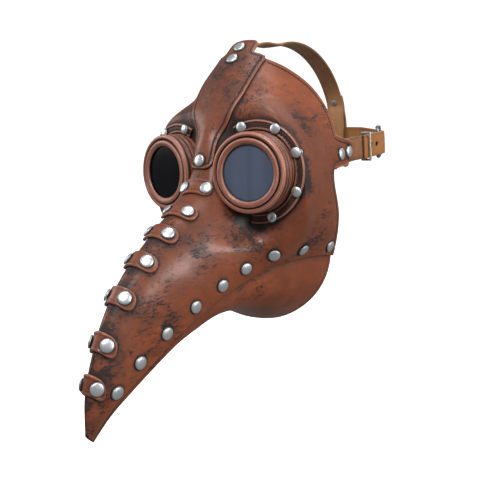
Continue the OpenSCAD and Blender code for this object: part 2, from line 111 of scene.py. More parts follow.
def unit(v):
    return v / np.maximum(np.linalg.norm(v, axis=-1, keepdims=True), 1e-12)


def mix(a, b, f):
    return a + (b - a) * f


def curve(points, u):
    """Catmull-Rom curve through the points at u from 0 to 1: each stretch is the cubic whose
    end tangents are half the difference of the neighbouring points."""
    points = np.asarray(points, float)
    n = len(points) - 1
    padded = np.concatenate([[2 * points[0] - points[1]], points, [2 * points[-1] - points[-2]]])
    u = np.asarray(u, float)
    i = np.clip(np.floor(u * n).astype(int), 0, n - 1)
    f = u * n - i
    if points.ndim == 2:
        f = f[..., None]
    a, b, c, d = padded[i], padded[i + 1], padded[i + 2], padded[i + 3]
    return b + 0.5 * f * (c - a + f * (2 * a - 5 * b + 4 * c - d + f * (3 * (b - c) + d - a)))


def middle(points, s):
    """Point of a middle line: its curve with x at zero."""
    p = curve(points, s)
    return np.concatenate([np.zeros(p.shape[:-1] + (1,)), p], -1)


def bezier(a, b, c, d, t):
    t = t[..., None]
    r = 1 - t
    return r ** 3 * a + 3 * r * r * t * b + 3 * r * t * t * c + t ** 3 * d


EYE_N = np.array([np.sin(EYE_TURN) * np.cos(EYE_DIP), -np.cos(EYE_TURN) * np.cos(EYE_DIP),
                  -np.sin(EYE_DIP)])
EYE_SIDE = unit(np.cross([0, 0, 1], EYE_N))
EYE_UP = np.cross(EYE_N, EYE_SIDE)


def pressed(p):
    """Flattens the face on to the eye plane: the height above the plane is taken away in full
    within 45 mm of the eye's centre and fades out over 20 mm, and not at all on the nose."""
    d = p - EYE
    h = d @ EYE_N
    u = d @ EYE_SIDE
    v = d @ EYE_UP
    q = u * np.cos(FLAT_TURN) + v * np.sin(FLAT_TURN)
    w = (1 - ease((np.hypot(u, v) - 45) / 20)) * ease((q + 38) / 26) * (1 - ease((-h - 14) / 14))
    return p - (h * w)[..., None] * EYE_N


def face(s, t):
    """Face of the mask on the wearer's left: at station s a cubic from the middle line (t = 0)
    to the seam (t = 1), with the back edge shifted and drawn out into the strap tab."""
    s, t = np.broadcast_arrays(np.asarray(s, float), np.asarray(t, float))
    a = middle(BROW, s)
    b = a.copy()
    b[..., 0] += curve(BROW_PULL, s)
    d = curve(SEAM, s)
    p = bezier(a, b, d + curve(CHEEK_PULL, s), d, t)
    tab = ease((TAB_HALF + 0.012 - abs(t - TAB_T)) / 0.028) * (1 - ease(s / 0.075))
    p[..., 1] += curve(EDGE_SHIFT, t) * (1 - ease(s / 0.16)) + TAB_REACH * tab
    p[..., 0] += (TAB_X - p[..., 0]) * tab
    return pressed(p)


def jaw(s, t):
    """Jaw on the wearer's left: at station s a cubic from the seam to the keel."""
    s, t = np.broadcast_arrays(np.asarray(s, float), np.asarray(t, float))
    a = curve(SEAM, s)
    d = middle(KEEL, s)
    b = a * (0.98, 1, 1) - curve(JAW_PULL, s)[..., None] * (0, 0, 1)
    return bezier(a, b, d + a[..., :1] * (0.6, 0, 0), d, t)


def normal_of(surface, s, t, e=0.003):
    """Unit normal of a surface of two parameters, by differences of e on each side."""
    along = surface(np.clip(s + e, 0, 1), t) - surface(np.clip(s - e, 0, 1), t)
    across = surface(s, np.clip(t + e, 0, 1)) - surface(s, np.clip(t - e, 0, 1))
    return unit(np.cross(along, across))


def wall(s):
    """Thickness of the panels: full, thinning to a fifth where the beak closes."""
    return size("leather_t") * mix(1, 0.2, ease((s - 0.88) / 0.12))


def across_ridge(s, r):
    """Parameter t whose point lies a straight distance |r| from the middle line, by halving."""
    s, r = np.broadcast_arrays(np.asarray(s, float), np.abs(np.asarray(r, float)))
    low, high = np.zeros(s.shape), np.full(s.shape, 0.7)
    start = face(s, 0 * s)
    for _ in range(20):
        m = (low + high) / 2
        short = np.linalg.norm(face(s, m) - start, axis=-1) < r
        low, high = np.where(short, m, low), np.where(short, high, m)
    return (low + high) / 2


def above(s, r, h):
    """Point at height h above the face, r to one side of the ridge; a negative s runs past
    the brow by that many mm, up and back at 45 degrees. Returns the point and its normal."""
    s, r = np.broadcast_arrays(np.asarray(s, float), np.asarray(r, float))
    q = np.maximum(s, 0)
    t = across_ridge(q, r)
    n = normal_of(face, q, t)
    p = face(q, t) + np.asarray(h)[..., None] * n
    flip = np.where(r < 0, -1.0, 1.0)[..., None] * (1, 0, 0) + (0, 1, 1)
    off = np.maximum(-s, 0)[..., None] * unit(np.array([0.0, 1, 1]))
    return p * flip + off, n * flip


# ---------------------------------------------------------------- meshes from grids

def grid_normals(p):
    """Unit normals of a grid of points: cross product of its differences both ways."""
    return unit(np.cross(np.gradient(p, axis=0), np.gradient(p, axis=1)))


def grid_quads(rows, cols, wrap_rows=False, wrap_cols=False):
    """Corner numbers of a grid's faces, turned so that they face rows x columns."""
    i = np.arange(rows if wrap_rows else rows - 1)[:, None]
    j = np.arange(cols if wrap_cols else cols - 1)[None, :]
    i2, j2 = (i + 1) % rows, (j + 1) % cols
    return np.stack([i * cols + j, i2 * cols + j, i2 * cols + j2, i * cols + j2], -1).reshape(-1, 4)


def open_edges(quads, count):
    """Directed edges of the faces that no other face uses the other way round."""
    a = quads.ravel()
    b = np.roll(quads, -1, axis=1).ravel()
    lone = ~np.isin(a.astype(np.int64) * count + b, b.astype(np.int64) * count + a)
    return a[lone], b[lone]


def add_mesh(name, points, quads, facts=None, weld=False, mirror=1.0):
    """Makes an object from points in mm and faces, with float attributes on its points.
    A mirror of -1 turns the shape to the other side. The faces are turned outwards, which is
    where the signed volume they close is positive."""
    points = np.asarray(points, float).reshape(-1, 3) * (mirror, 1, 1) * MM
    quads = np.asarray(quads)
    p0, p1, p2, p3 = (points[quads[:, k]] for k in range(4))
    if np.sum(p0 * (np.cross(p1, p2) + np.cross(p2, p3))) < 0:
        quads = quads[:, ::-1]
    used, quads = np.unique(quads, return_inverse=True)
    quads = quads.reshape(-1, 4)
    mesh = bpy.data.meshes.new(name)
    mesh.vertices.add(len(used))
    mesh.vertices.foreach_set("co", points[used].astype(np.float32).ravel())
    mesh.loops.add(quads.size)
    mesh.loops.foreach_set("vertex_index", quads.astype(np.int32).ravel())
    mesh.polygons.add(len(quads))
    mesh.polygons.foreach_set("loop_start", np.arange(0, quads.size, 4, dtype=np.int32))
    mesh.polygons.foreach_set("use_smooth", np.ones(len(quads), bool))
    for key, values in (facts or {}).items():
        held = mesh.attributes.new(key, "FLOAT", "POINT")
        held.data.foreach_set("value", np.asarray(values, np.float32).ravel()[used])
    mesh.update(calc_edges=True)
    mesh.validate()
    if weld:
        shape = bmesh.new()
        shape.from_mesh(mesh)
        bmesh.ops.remove_doubles(shape, verts=shape.verts, dist=1e-6)
        shape.to_mesh(mesh)
        shape.free()
    piece = bpy.data.objects.new(name, mesh)
    bpy.context.scene.collection.objects.link(piece)
    return piece


def add_shell(name, outer, normal, thick, edge, facts=None, keep=None, mirror=1.0, soften=1.0):
    """A closed sheet of leather. The grid is its outer face; the inner one lies thick below.
    Towards an edge both close in on the middle along a quarter ellipse soften mm wide, and a
    narrow wall joins them round every open edge, those of holes included."""
    half = np.broadcast_to(thick, edge.shape)[..., None] / 2
    close = 1 - np.clip(edge / soften, 0, 1)
    round_off = np.maximum(np.sqrt(1 - close * close), 0.3)[..., None]
    core = outer - normal * half
    count = edge.size
    quads = grid_quads(*edge.shape)
    if keep is not None:
        quads = quads[keep.ravel()]
    a, b = open_edges(quads, count)
    faces = np.concatenate([quads, quads[:, ::-1] + count, np.stack([b, a, a + count, b + count], -1)])
    points = np.concatenate([(core + normal * half * round_off).reshape(-1, 3),
                             (core - normal * half * round_off).reshape(-1, 3)])
    shade = {key: np.concatenate([np.ravel(v), np.ravel(v)]) for key, v in (facts or {}).items()}
    return add_mesh(name, points, faces, shade, mirror=mirror)


def near(points, samples, step=4096):
    """Distance from each point to the nearest of the samples."""
    flat = points.reshape(-1, 3)
    parts = [np.linalg.norm(flat[i:i + step, None] - samples[None], axis=-1).min(1)
             for i in range(0, len(flat), step)]
    return np.concatenate(parts).reshape(points.shape[:-1])


def spread(*stretches):
    """Even steps joined end to end: (start, end, steps) for each stretch."""
    return np.concatenate([np.linspace(a, b, n, endpoint=False) for a, b, n in stretches]
                          + [[stretches[-1][1]]])


def run_along(points):
    """Distance run along a polyline at each of its points."""
    return np.concatenate([[0], np.cumsum(np.linalg.norm(np.diff(points, axis=0), axis=1))])


def hole_cells(inside):
    """For the points inside a hole: the faces that touch them, which are left out, and the
    points just outside that those faces share, which are drawn on to the hole's edge."""
    drop = inside[:-1, :-1] | inside[1:, :-1] | inside[:-1, 1:] | inside[1:, 1:]
    ring = np.zeros(inside.shape, bool)
    for i in (0, 1):
        for j in (0, 1):
            ring[i:i + drop.shape[0], j:j + drop.shape[1]] |= drop
    return drop, ring & ~inside


def in_eye(r, angle, h):
    """Point in the eye's frame: r from its axis at an angle from the outer side, h high."""
    r, angle, h = np.broadcast_arrays(r, angle, h)
    return (EYE + h[..., None] * EYE_N + (r * np.cos(angle))[..., None] * EYE_SIDE
            + (r * np.sin(angle))[..., None] * EYE_UP)


def fillet(profile, radius, steps=4):
    """Rounds each corner of a closed outline with a parabola that leaves the sides radius,
    or two fifths of the side, from the corner."""
    p = np.asarray(profile, float)
    back, on = np.roll(p, 1, 0) - p, np.roll(p, -1, 0) - p
    cut = [unit(v) * np.minimum(radius, 0.4 * np.linalg.norm(v, axis=-1))[:, None] for v in (back, on)]
    f = np.linspace(0, 1, steps + 1)[None, :, None]
    a, b = (p + cut[0])[:, None], (p + cut[1])[:, None]
    return ((1 - f) ** 2 * a + 2 * f * (1 - f) * p[:, None] + f * f * b).reshape(-1, 2)


def place(piece, look, slot, *nodes, body="mask"):
    """Gives a piece its material, its body and the nodes it stands for, which are hidden; the slot is not
    used.
    """
    piece.data.materials.append(look)
    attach(piece, body)
    if nodes:
        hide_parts(*nodes)
    return piece


# ---------------------------------------------------------------- materials

def math_method(operation, swapped=False):
    """An operator's method, which adds one Math node."""
    def method(self, other):
        return self.math(operation, *((other, self) if swapped else (self, other)))
    return method


class Value:
    """A socket in an expression: each operation adds a Math node."""

    def __init__(self, look, socket):
        self.look, self.socket = look, socket

    def math(self, operation, *values):
        sockets = dict(enumerate(values))
        return self.look.node("ShaderNodeMath", {"operation": operation}, sockets)

    __add__ = __radd__ = math_method("ADD")
    __mul__ = __rmul__ = math_method("MULTIPLY")
    __sub__, __rsub__ = math_method("SUBTRACT"), math_method("SUBTRACT", swapped=True)

    def limit(self):
        return self.look.node("ShaderNodeClamp", {}, {"Value": self})

    def above(self, low, high):
        """Smooth rise from 0 at low to 1 at high."""
        return self.look.node("ShaderNodeMapRange", {"interpolation_type": "SMOOTHSTEP"},
                              {"Value": self, "From Min": low, "From Max": high})


class Look:
    """One procedural material: a shader, its constants, and the nodes that feed it."""

    def __init__(self, name, **constants):
        self.material = bpy.data.materials.new(name)
        self.material.use_nodes = True
        self.tree = self.material.node_tree
        self.shader = self.tree.nodes["Principled BSDF"]
        for key, value in constants.items():
            self.shader.inputs[key.replace("_", " ")].default_value = value
        self.where = self.node("ShaderNodeTexCoord", {}, {}, "Object")

    def node(self, kind, settings, sockets, output=0):
        """Adds a node, sets its settings and then its sockets, and returns one output."""
        made = self.tree.nodes.new(kind)
        for key, value in settings.items():
            setattr(made, key, value)
        for key, value in sockets.items():
            if isinstance(value, Value):
                self.tree.links.new(value.socket, made.inputs[key])
            else:
                made.inputs[key].default_value = value
        return Value(self, made.outputs[output])

    def fact(self, name):
        return self.node("ShaderNodeAttribute", {"attribute_name": name}, {}, "Fac")

    def stretched(self, scale, turn=(0, 0, 0)):
        return self.node("ShaderNodeMapping", {}, {"Vector": self.where, "Scale": scale,
                                                   "Rotation": tuple(radians(a) for a in turn)})

    def noise(self, scale, detail=3.0, rough=0.55, vector=None, warp=0.0):
        return self.node("ShaderNodeTexNoise", {}, {
            "Vector": vector or self.where, "Scale": scale, "Detail": detail,
            "Roughness": rough, "Distortion": warp})

    def cells(self, scale):
        return self.node("ShaderNodeTexVoronoi", {}, {"Vector": self.where, "Scale": scale},
                         "Distance")

    def blend(self, factor, a, b):
        """Colour a where the factor is 0 and b where it is 1."""
        factor = factor if isinstance(factor, Value) else float(factor)
        pair = [c if isinstance(c, Value) else (*c, 1.0) for c in (a, b)]
        return self.node("ShaderNodeMix", {"data_type": "RGBA"}, {0: factor, 6: pair[0], 7: pair[1]}, 2)

    def bump(self, height, depth, strength=1.0):
        return self.node("ShaderNodeBump", {}, {"Height": height, "Distance": depth * MM,
                                                "Strength": strength})

    def finish(self, **feeds):
        for key, value in feeds.items():
            socket = self.shader.inputs[key.replace("_", " ")]
            self.tree.links.new(value.socket, socket)
        return self.material


LOOKS = {}


def look(name):
    """The material of that name, made the first time it is asked for."""
    if name not in LOOKS:
        LOOKS[name] = RECIPES[name](name)
    return LOOKS[name]


def antiqued_leather(name, base, warm, rub_and_sheen, patina, streaks=1.0, gloss=0.42):
    """Leather with pores and fine scratches, a black-brown patina where dirt gathers and in brushed
    patches, a pinkish bloom on the open ground that is partly rubbed leather and partly painted sheen, and
    paler, smoother edges."""
    made = Look(name, Specular_IOR_Level=0.3, Coat_Roughness=0.3)
    broad = made.noise(24.0, 4.0, 0.6)
    cloud = made.noise(62.0, 5.0, 0.65, warp=0.4)
    grain = made.noise(420.0, 6.0, 0.7)
    brushed = made.noise(150.0, 7.0, 0.74, made.stretched((1.0, 0.45, 1.0), (38, 0, 20)), 0.5)
    hair = made.noise(620.0, 5.0, 0.75, made.stretched((1.0, 0.22, 1.0), (-42, 0, 12)), 0.3)
    pores = made.cells(760.0)
    dirt, wear, grime = made.fact("dirt"), made.fact("wear"), made.fact("grime")
    ground = made.blend(broad.above(0.36, 0.66), base, warm)
    # The pinkish bloom over the noise clouds is partly rubbed leather and partly painted sheen.
    bloom = (cloud.above(0.45, 0.72) * 0.4 + grain.above(0.52, 0.75) * 0.22) * (1 - dirt)
    ground = made.blend(bloom.limit(), ground, rub_and_sheen)
    patch = (broad.above(0.5, 0.66) * 0.55 + grime * 1.15) * streaks
    hatching = brushed.above(0.44, 0.62) * hair.above(0.42, 0.6)
    marks = (hatching * 1.5 + hair.above(0.56, 0.68) * 0.7) * patch
    specks = pores.math("LESS_THAN", pores, 0.13) * cloud.above(0.55, 0.68) * 0.6
    dark = dirt * (0.62 + grain * 0.75) + marks + specks + cloud.above(0.36, 0.6) * 0.75 * patch
    tone = made.blend(dark.limit(), ground, patina)
    # Paler and smoother along the edges, in a lifted copy of the bloom colour.
    light = tuple(min(1.0, c * 1.5 + 0.02) for c in rub_and_sheen)
    tone = made.blend((wear * (0.35 + grain * 0.9)).limit(), tone, light)
    rough = gloss + grain * 0.22 + dark.limit() * 0.14 - wear * 0.08
    height = grain * 0.5 + pores.above(0.0, 0.34) * 0.35 - hair.above(0.56, 0.68) * 0.6
    return made.finish(Base_Color=tone, Roughness=rough, Coat_Weight=0.3 * (1 - dark.limit() * 0.7),
                       Normal=made.bump(height, 0.28, 0.75))


def strap_leather(name, base, deep, edge):
    """Smooth strap leather: soft colour clouds, fine pores, darkened sides."""
    made = Look(name, Specular_IOR_Level=0.4)
    cloud = made.noise(45.0, 4.0, 0.6)
    grain = made.noise(650.0, 5.0, 0.65)
    scuff = made.noise(240.0, 5.0, 0.7, made.stretched((1.0, 0.25, 1.0)))
    tone = made.blend(cloud.above(0.35, 0.7), base, deep)
    tone = made.blend((grain.above(0.52, 0.8) * 0.45).limit(), tone, deep)
    tone = made.blend((made.fact("dirt") * 0.85).limit(), tone, edge)
    rough = 0.42 + grain * 0.25 + scuff.above(0.55, 0.7) * 0.1
    return made.finish(Base_Color=tone, Roughness=rough,
                       Normal=made.bump(grain * 0.6 - scuff.above(0.6, 0.72) * 0.4, 0.16, 0.6))


def domed_steel(name):
    """Satin silver cap: fine scratches, little dents, dark patina creeping in from the rim."""
    made = Look(name, Specular_IOR_Level=0.6)
    scratch = made.noise(900.0, 4.0, 0.6, made.stretched((1.0, 0.2, 0.6), (20, 30, 0)))
    blot = made.noise(420.0, 4.0, 0.6)
    rim = made.fact("rim").above(0.8, 1.0)
    dark = (rim * 0.55 + blot.above(0.58, 0.7) * 0.35).limit()
    tone = made.blend(dark, (0.6, 0.63, 0.66), (0.05, 0.045, 0.042))
    rough = 0.3 + blot * 0.16 + dark * 0.2
    return made.finish(Base_Color=tone, Roughness=rough, Metallic=0.92 - dark * 0.5,
                       Normal=made.bump(scratch + blot, 0.1, 0.45))


def old_pewter(name, base, dark, shine):
    made = Look(name, Specular_IOR_Level=0.5)
    blot = made.noise(300.0, 5.0, 0.65)
    pits = made.cells(1500.0)
    tone = made.blend(blot.above(0.42, 0.66), base, dark)
    return made.finish(Base_Color=tone, Roughness=shine + blot * 0.25, Metallic=1.0 - blot * 0.2,
                       Normal=made.bump(blot + pits * 0.3, 0.12, 0.5))


def smoked_lens(name, base, streak, shine):
    """Smoked sheet with a polished face: faint upright bands and a dusting of fine marks."""
    made = Look(name, Specular_IOR_Level=shine, IOR=1.49)
    bands = made.noise(70.0, 2.0, 0.5, made.stretched((1.0, 0.4, 0.04)))
    dust = made.noise(1100.0, 3.0, 0.6)
    tone = made.blend(bands.above(0.42, 0.62) * 0.6, base, streak)
    tone = made.blend(made.fact("dirt") * 0.8, tone, (0.006, 0.006, 0.008))
    return made.finish(Base_Color=tone, Roughness=0.1 + dust * 0.12)


def waxed_thread(name):
    made = Look(name)
    ply = made.noise(1600.0, 2.0, 0.5, made.stretched((1.0, 1.0, 0.4)))
    tone = made.blend(ply.above(0.4, 0.65), (0.01, 0.006, 0.005), (0.05, 0.02, 0.012))
    return made.finish(Base_Color=tone, Roughness=0.62 + ply * 0.2, Normal=made.bump(ply, 0.1, 0.6))


def studio_white(name):
    made = Look(name, Specular_IOR_Level=0.1, Emission_Color=(1, 1, 1, 1), Emission_Strength=0.62)
    tone = made.blend(made.noise(3.0, 2.0, 0.5) * 0.4, (0.93, 0.93, 0.93), (0.9, 0.9, 0.9))
    return made.finish(Base_Color=tone, Roughness=0.75 + made.noise(40.0) * 0.1)


DARK_PATINA = (0.018, 0.01, 0.009)
RECIPES = {
    # The third colour of each leather is its pinkish bloom: partly rubbed leather, partly painted sheen.
    "mask_leather": lambda n: antiqued_leather(
        n, colour("leather"), colour("leather_warm"), colour("leather_rubbed"), DARK_PATINA),
    "trim_leather": lambda n: antiqued_leather(
        n, (0.135, 0.033, 0.012), (0.18, 0.044, 0.015), (0.21, 0.07, 0.038), DARK_PATINA, 0.7, 0.36),
    "flange_leather": lambda n: antiqued_leather(
        n, (0.09, 0.026, 0.013), (0.13, 0.038, 0.018), (0.22, 0.095, 0.065), DARK_PATINA, 1.1, 0.4),
    "eyecup_moulding": lambda n: antiqued_leather(
        n, (0.12, 0.034, 0.017), (0.155, 0.044, 0.02), (0.22, 0.085, 0.055), DARK_PATINA, 0.5, 0.36),
    # The rim and the lens ring are lighter, pinker copies of the goggle's one reddish brown with almost no
    # patina: painted highlight.
    "rim_moulding": lambda n: antiqued_leather(
        n, (0.18, 0.06, 0.036), (0.21, 0.068, 0.038), (0.3, 0.135, 0.098), DARK_PATINA, 0.1, 0.36),
    "lens_ring_moulding": lambda n: antiqued_leather(
        n, (0.2, 0.07, 0.045), (0.23, 0.077, 0.045), (0.32, 0.15, 0.11), DARK_PATINA, 0.08, 0.36),
    "strap_leather": lambda n: strap_leather(
        n, colour("strap"), (0.25, 0.1, 0.03), (0.07, 0.028, 0.012)),
    # The side straps take a darker copy of the strap leather: partly their own dark brown, partly painted
    # shade for the shadow they lie in.
    "anchor_leather": lambda n: strap_leather(
        n, (0.22, 0.085, 0.028), (0.13, 0.05, 0.018), (0.04, 0.017, 0.008)),
    "crown_leather": lambda n: strap_leather(
        n, (0.4, 0.2, 0.09), (0.3, 0.14, 0.055), (0.1, 0.045, 0.02)),
    "rivet_steel": domed_steel,
    "pewter": lambda n: old_pewter(n, (0.25, 0.25, 0.24), (0.07, 0.065, 0.06), 0.32),
    "keeper_wire": lambda n: old_pewter(n, (0.72, 0.68, 0.58), (0.4, 0.36, 0.28), 0.22),
    # The two lenses are one smoked lens: the near one's blue-grey and higher shine are a painted
    # reflection, the far one's near black is a copy with painted shade.
    "near_lens": lambda n: smoked_lens(n, (0.06, 0.078, 0.12), (0.08, 0.1, 0.15), 0.5),
    "far_lens": lambda n: smoked_lens(n, (0.002, 0.002, 0.003), (0.004, 0.004, 0.006), 0.12),
    "thread": waxed_thread,
    "studio_white": studio_white,
}


# ---------------------------------------------------------------- sizes and colours

class MaskSizes(bpy.types.PropertyGroup):
    """Sizes of the pieces, in mm."""
    leather_t: FloatProperty(name="Panel thickness", default=2.6,
                             description="Thickness of the face and jaw")
    trim_t: FloatProperty(name="Trim thickness", default=2.4,
                          description="Thickness of strip and bands")
    trim_gap: FloatProperty(name="Trim gap", default=0.25,
                            description="Height of the trim above the face")
    band_w: FloatProperty(name="Band width", default=14.5,
                          description="Width of a ridge band")
    cap_r: FloatProperty(name="Cap radius", default=5.2,
                         description="Radius of a rivet's cap")
    cap_h: FloatProperty(name="Cap height", default=2.3,
                         description="Height of a rivet's dome")
    cup_r: FloatProperty(name="Eyecup radius", default=34.0,
                         description="Outer radius of the eyecup")
    cup_h: FloatProperty(name="Eyecup height", default=15.5,
                         description="Height of the eyecup")
    flange_r: FloatProperty(name="Eye ring radius", default=43.0,
                            description="Outer radius of the ring")
    rim_r: FloatProperty(name="Rim radius", default=33.0,
                         description="Outer radius of the front rim")
    view_r: FloatProperty(name="View radius", default=22.9,
                          description="Clear radius of the lens ring")
    strap_w: FloatProperty(name="Strap width", default=22.0,
                           description="Width of the back strap")
    strap_t: FloatProperty(name="Strap thickness", default=2.4,
                           description="Thickness of the straps")
    stitch_pitch: FloatProperty(name="Stitch pitch", default=3.1,
                                description="Distance between stitches")
    seed: IntProperty(name="Seed", description="Start of the random draws", default=7)


class MaskColours(bpy.types.PropertyGroup):
    """Colours of the main leathers."""
    leather: FloatVectorProperty(name="Leather", description="Ground colour of the mask",
                                 subtype="COLOR", default=(0.15, 0.034, 0.01))
    leather_warm: FloatVectorProperty(name="Warm leather", description="Warmer patches",
                                      subtype="COLOR", default=(0.22, 0.05, 0.013))
    # The bloom colour is partly rubbed leather and partly painted sheen.
    leather_rubbed: FloatVectorProperty(name="Rubbed leather", description="Bloom on open ground",
                                        subtype="COLOR", default=(0.235, 0.08, 0.04))
    strap: FloatVectorProperty(name="Strap", description="Camel strap leather",
                               subtype="COLOR", default=(0.3, 0.115, 0.028))


def size(name):
    return getattr(bpy.context.scene.mask_sizes, name)


def colour(name):
    return tuple(getattr(bpy.context.scene.mask_colours, name))


# ---------------------------------------------------------------- where the rivets sit

BAND_S = np.array([0.378, 0.477, 0.558, 0.64, 0.73, 0.823, 0.901])
BAND_R = np.array([11.4, 10.5, 9.8, 9.0, 8.0, 7.4, 6.8])
BAND_REACH = np.array([15.6, 18.2, 17.6, 16.8, 15.8, 14.8, 13.8])
SEAM_RIVETS = np.array([
    (0.879, 0.84), (0.8, 0.85), (0.714, 0.875), (0.62, 0.89), (0.526, 0.9), (0.438, 0.88),
    (0.342, 0.88), (0.204, 0.95), (0.05, 0.968)])
TAB_RIVETS = np.array([(0.033, 0.652), (0.0145, 0.652)])
FOREHEAD_RIVETS = np.array([-6.0, 0.026, 0.294])
FLANGE_ANGLES = np.radians([109.0, 63.0, 24.0, -23.0, -69.0])
STRIP_RINGS = np.array([
    (-17, 10), (-16, 12.5), (-13.5, 14.5), (-8, 15), (-1, 16), (0, 26), (0.03, 26.5),
    (0.07, 26.5), (0.11, 25.5), (0.15, 22.5), (0.19, 17.5), (0.23, 12.5), (0.26, 11.2),
    (0.285, 11), (0.3, 10.6), (0.311, 9), (0.318, 5.5)])


# Stitch lines: distance in from the back edge and from the strip's sides
EDGE_INSET, STRIP_INSET = 4.6, 3.2
# Room between pieces: face and jaw at their lap, the tab and its strap, the brow and its strap
LAP_GAP, TAB_GAP, CROWN_GAP = 0.15, 1.4, 1.6


def flange_rivet_r():
    return (size("cup_r") + size("flange_r")) / 2 + 0.6


def band_rivets(k):
    """Feet and normals of band k's two rivets, on top of the band."""
    lift = size("trim_gap") + size("trim_t")
    return above(BAND_S[k], np.array([BAND_R[k], -BAND_R[k]]), np.array([lift, lift]))


def seam_feet():
    s, t = SEAM_RIVETS.T
    return face(s, t), normal_of(face, s, t)


def strip_ring(u):
    """Station and half width of the strip at u: stations run straight between the rings, and
    widths follow a smooth curve."""
    at = np.linspace(0, 1, len(STRIP_RINGS))
    return np.interp(u, at, STRIP_RINGS[:, 0]), curve(STRIP_RINGS[:, 1], u)


def strip_edge(n=160):
    """Points down the strip's edge on the wearer's left."""
    s, r = strip_ring(np.linspace(0.3, 1, n))
    return above(s, r, np.full(n, 0.3))[0]


# ---------------------------------------------------------------- pieces

# Darker patches on the leather: place, reach in mm, strength
DARK_PATCHES = [(np.array(spot, float), reach, strength) for spot, reach, strength in (
    ((24, -118, 52), 20.0, 0.9), ((58, -84, 40), 18.0, 0.7), ((40, -124, -50), 22.0, 0.9),
    ((20, -172, -62), 20.0, 0.8), ((62, -70, -52), 24.0, 0.5), ((14, -214, -96), 22.0, 0.7))]


def make_face_panel(side):
    """One half of the face: the face surface on a grid, close-set at its edges, with the hole
    for the eyecup drawn to a true circle, a stitch groove inside the back edge and shallow
    hollows round each rivet."""
    s = spread((0, 0.0028, 5), (0.0028, 0.0085, 5), (0.0085, 0.022, 18), (0.022, 0.06, 18),
               (0.06, 0.97, 196), (0.97, 1, 8))
    t = spread((0, 0.012, 5), (0.012, 0.56, 64), (0.56, 0.63, 16), (0.63, 0.69, 10),
               (0.69, 0.76, 16), (0.76, 0.96, 24), (0.96, 0.985, 4), (0.985, 1, 5))
    s, t = np.meshgrid(s, t, indexing="ij")
    p = face(s, t)
    n = grid_normals(p)
    gap = 0.12
    # the eyecup's hole: faces well inside are left out and the ring of points is set on it
    d = p - EYE
    h = d @ EYE_N
    flat = d - h[..., None] * EYE_N
    r = np.linalg.norm(flat, axis=-1)
    hole = 31.0
    inside = (r < hole - 0.4) & (np.abs(h) < 20)
    drop, rim = hole_cells(inside)
    p = np.where(rim[..., None], EYE + flat * (hole / np.maximum(r, 1))[..., None], p)
    n = np.where((rim | inside)[..., None], EYE_N, n)
    # distances that shape and colour the leather
    back = face(np.zeros(900), np.linspace(0, 1, 900))
    to_back = near(p, back)
    to_seam = np.linalg.norm(p - face(s, np.ones_like(t)), axis=-1)
    to_ridge = np.linalg.norm(p - face(s, np.zeros_like(t)), axis=-1)
    feet = np.concatenate([seam_feet()[0], face(*TAB_RIVETS.T)])
    to_rivet = near(p, feet)
    bands = np.concatenate([above(s_, np.linspace(0, r_, 12), np.zeros(12))[0] for s_, r_ in
                            zip(np.repeat(BAND_S, 2) + np.tile((-0.019, 0.019), 7),
                                np.repeat(BAND_REACH, 2) - 2)]
                           + [above(s_ + np.linspace(-0.013, 0.013, 9), np.full(9, r_), np.zeros(9))[0]
                              for s_, r_ in zip(BAND_S, BAND_REACH)])
    to_band = near(p, bands)
    to_strip = near(p, strip_edge())
    groove = 0.4 * bell(to_back - EDGE_INSET, 0.55) * (to_seam > 8) * (to_ridge > 10)
    dent = 0.35 * bell(to_rivet - 5.6, 1.4)
    y, z = p[..., 1], p[..., 2]
    swell = 0.35 * np.sin(y / 9.0 + 1.3 * np.sin(z / 13.0)) * np.sin(z / 11.0 + 0.7)
    swell = swell * ease((r - 50) / 18) * ease(to_back / 14) * ease(to_seam / 12) * ease(to_ridge / 16)
    p = p + n * (swell - groove - dent)[..., None]
    p[..., 0] = np.maximum(p[..., 0], gap)
    ring = bell(np.maximum(r - 43.5, 0), 3.0) * (np.abs(h) < 10)
    dirt = np.maximum.reduce([
        0.95 * bell(np.maximum(to_rivet - 5.2, 0), 1.3), 0.85 * ring,
        0.8 * bell(to_band, 2.4), 0.75 * bell(to_strip, 2.0),
        0.35 * bell(to_band, 9.0), 0.3 * bell(r - 43, 12.0),
        0.9 * bell(to_back - EDGE_INSET, 0.8)])
    # Paler along the back edge and the seam.
    wear = np.maximum(bell(to_back, 0.9), 0.9 * bell(to_seam, 0.8))
    # Darker patches at the listed spots and along the ridge of the beak.
    grime = np.maximum.reduce([strength * bell(np.linalg.norm(p - spot, axis=-1), reach)
                               for spot, reach, strength in DARK_PATCHES])
    grime = np.maximum(grime, 0.7 * bell(to_ridge, 15.0) * ease((s - 0.4) / 0.1))
    edge = np.minimum(np.minimum(to_back, to_seam), to_ridge + 0.3)
    piece = add_shell(side + "_face_leather", p, n, wall(s) * 0.97, edge,
                      {"dirt": dirt, "wear": wear, "grime": grime}, ~drop, SIDES[side], 1.1)
    place(piece, look("mask_leather"), "mask_leather", side + "_face_panel")


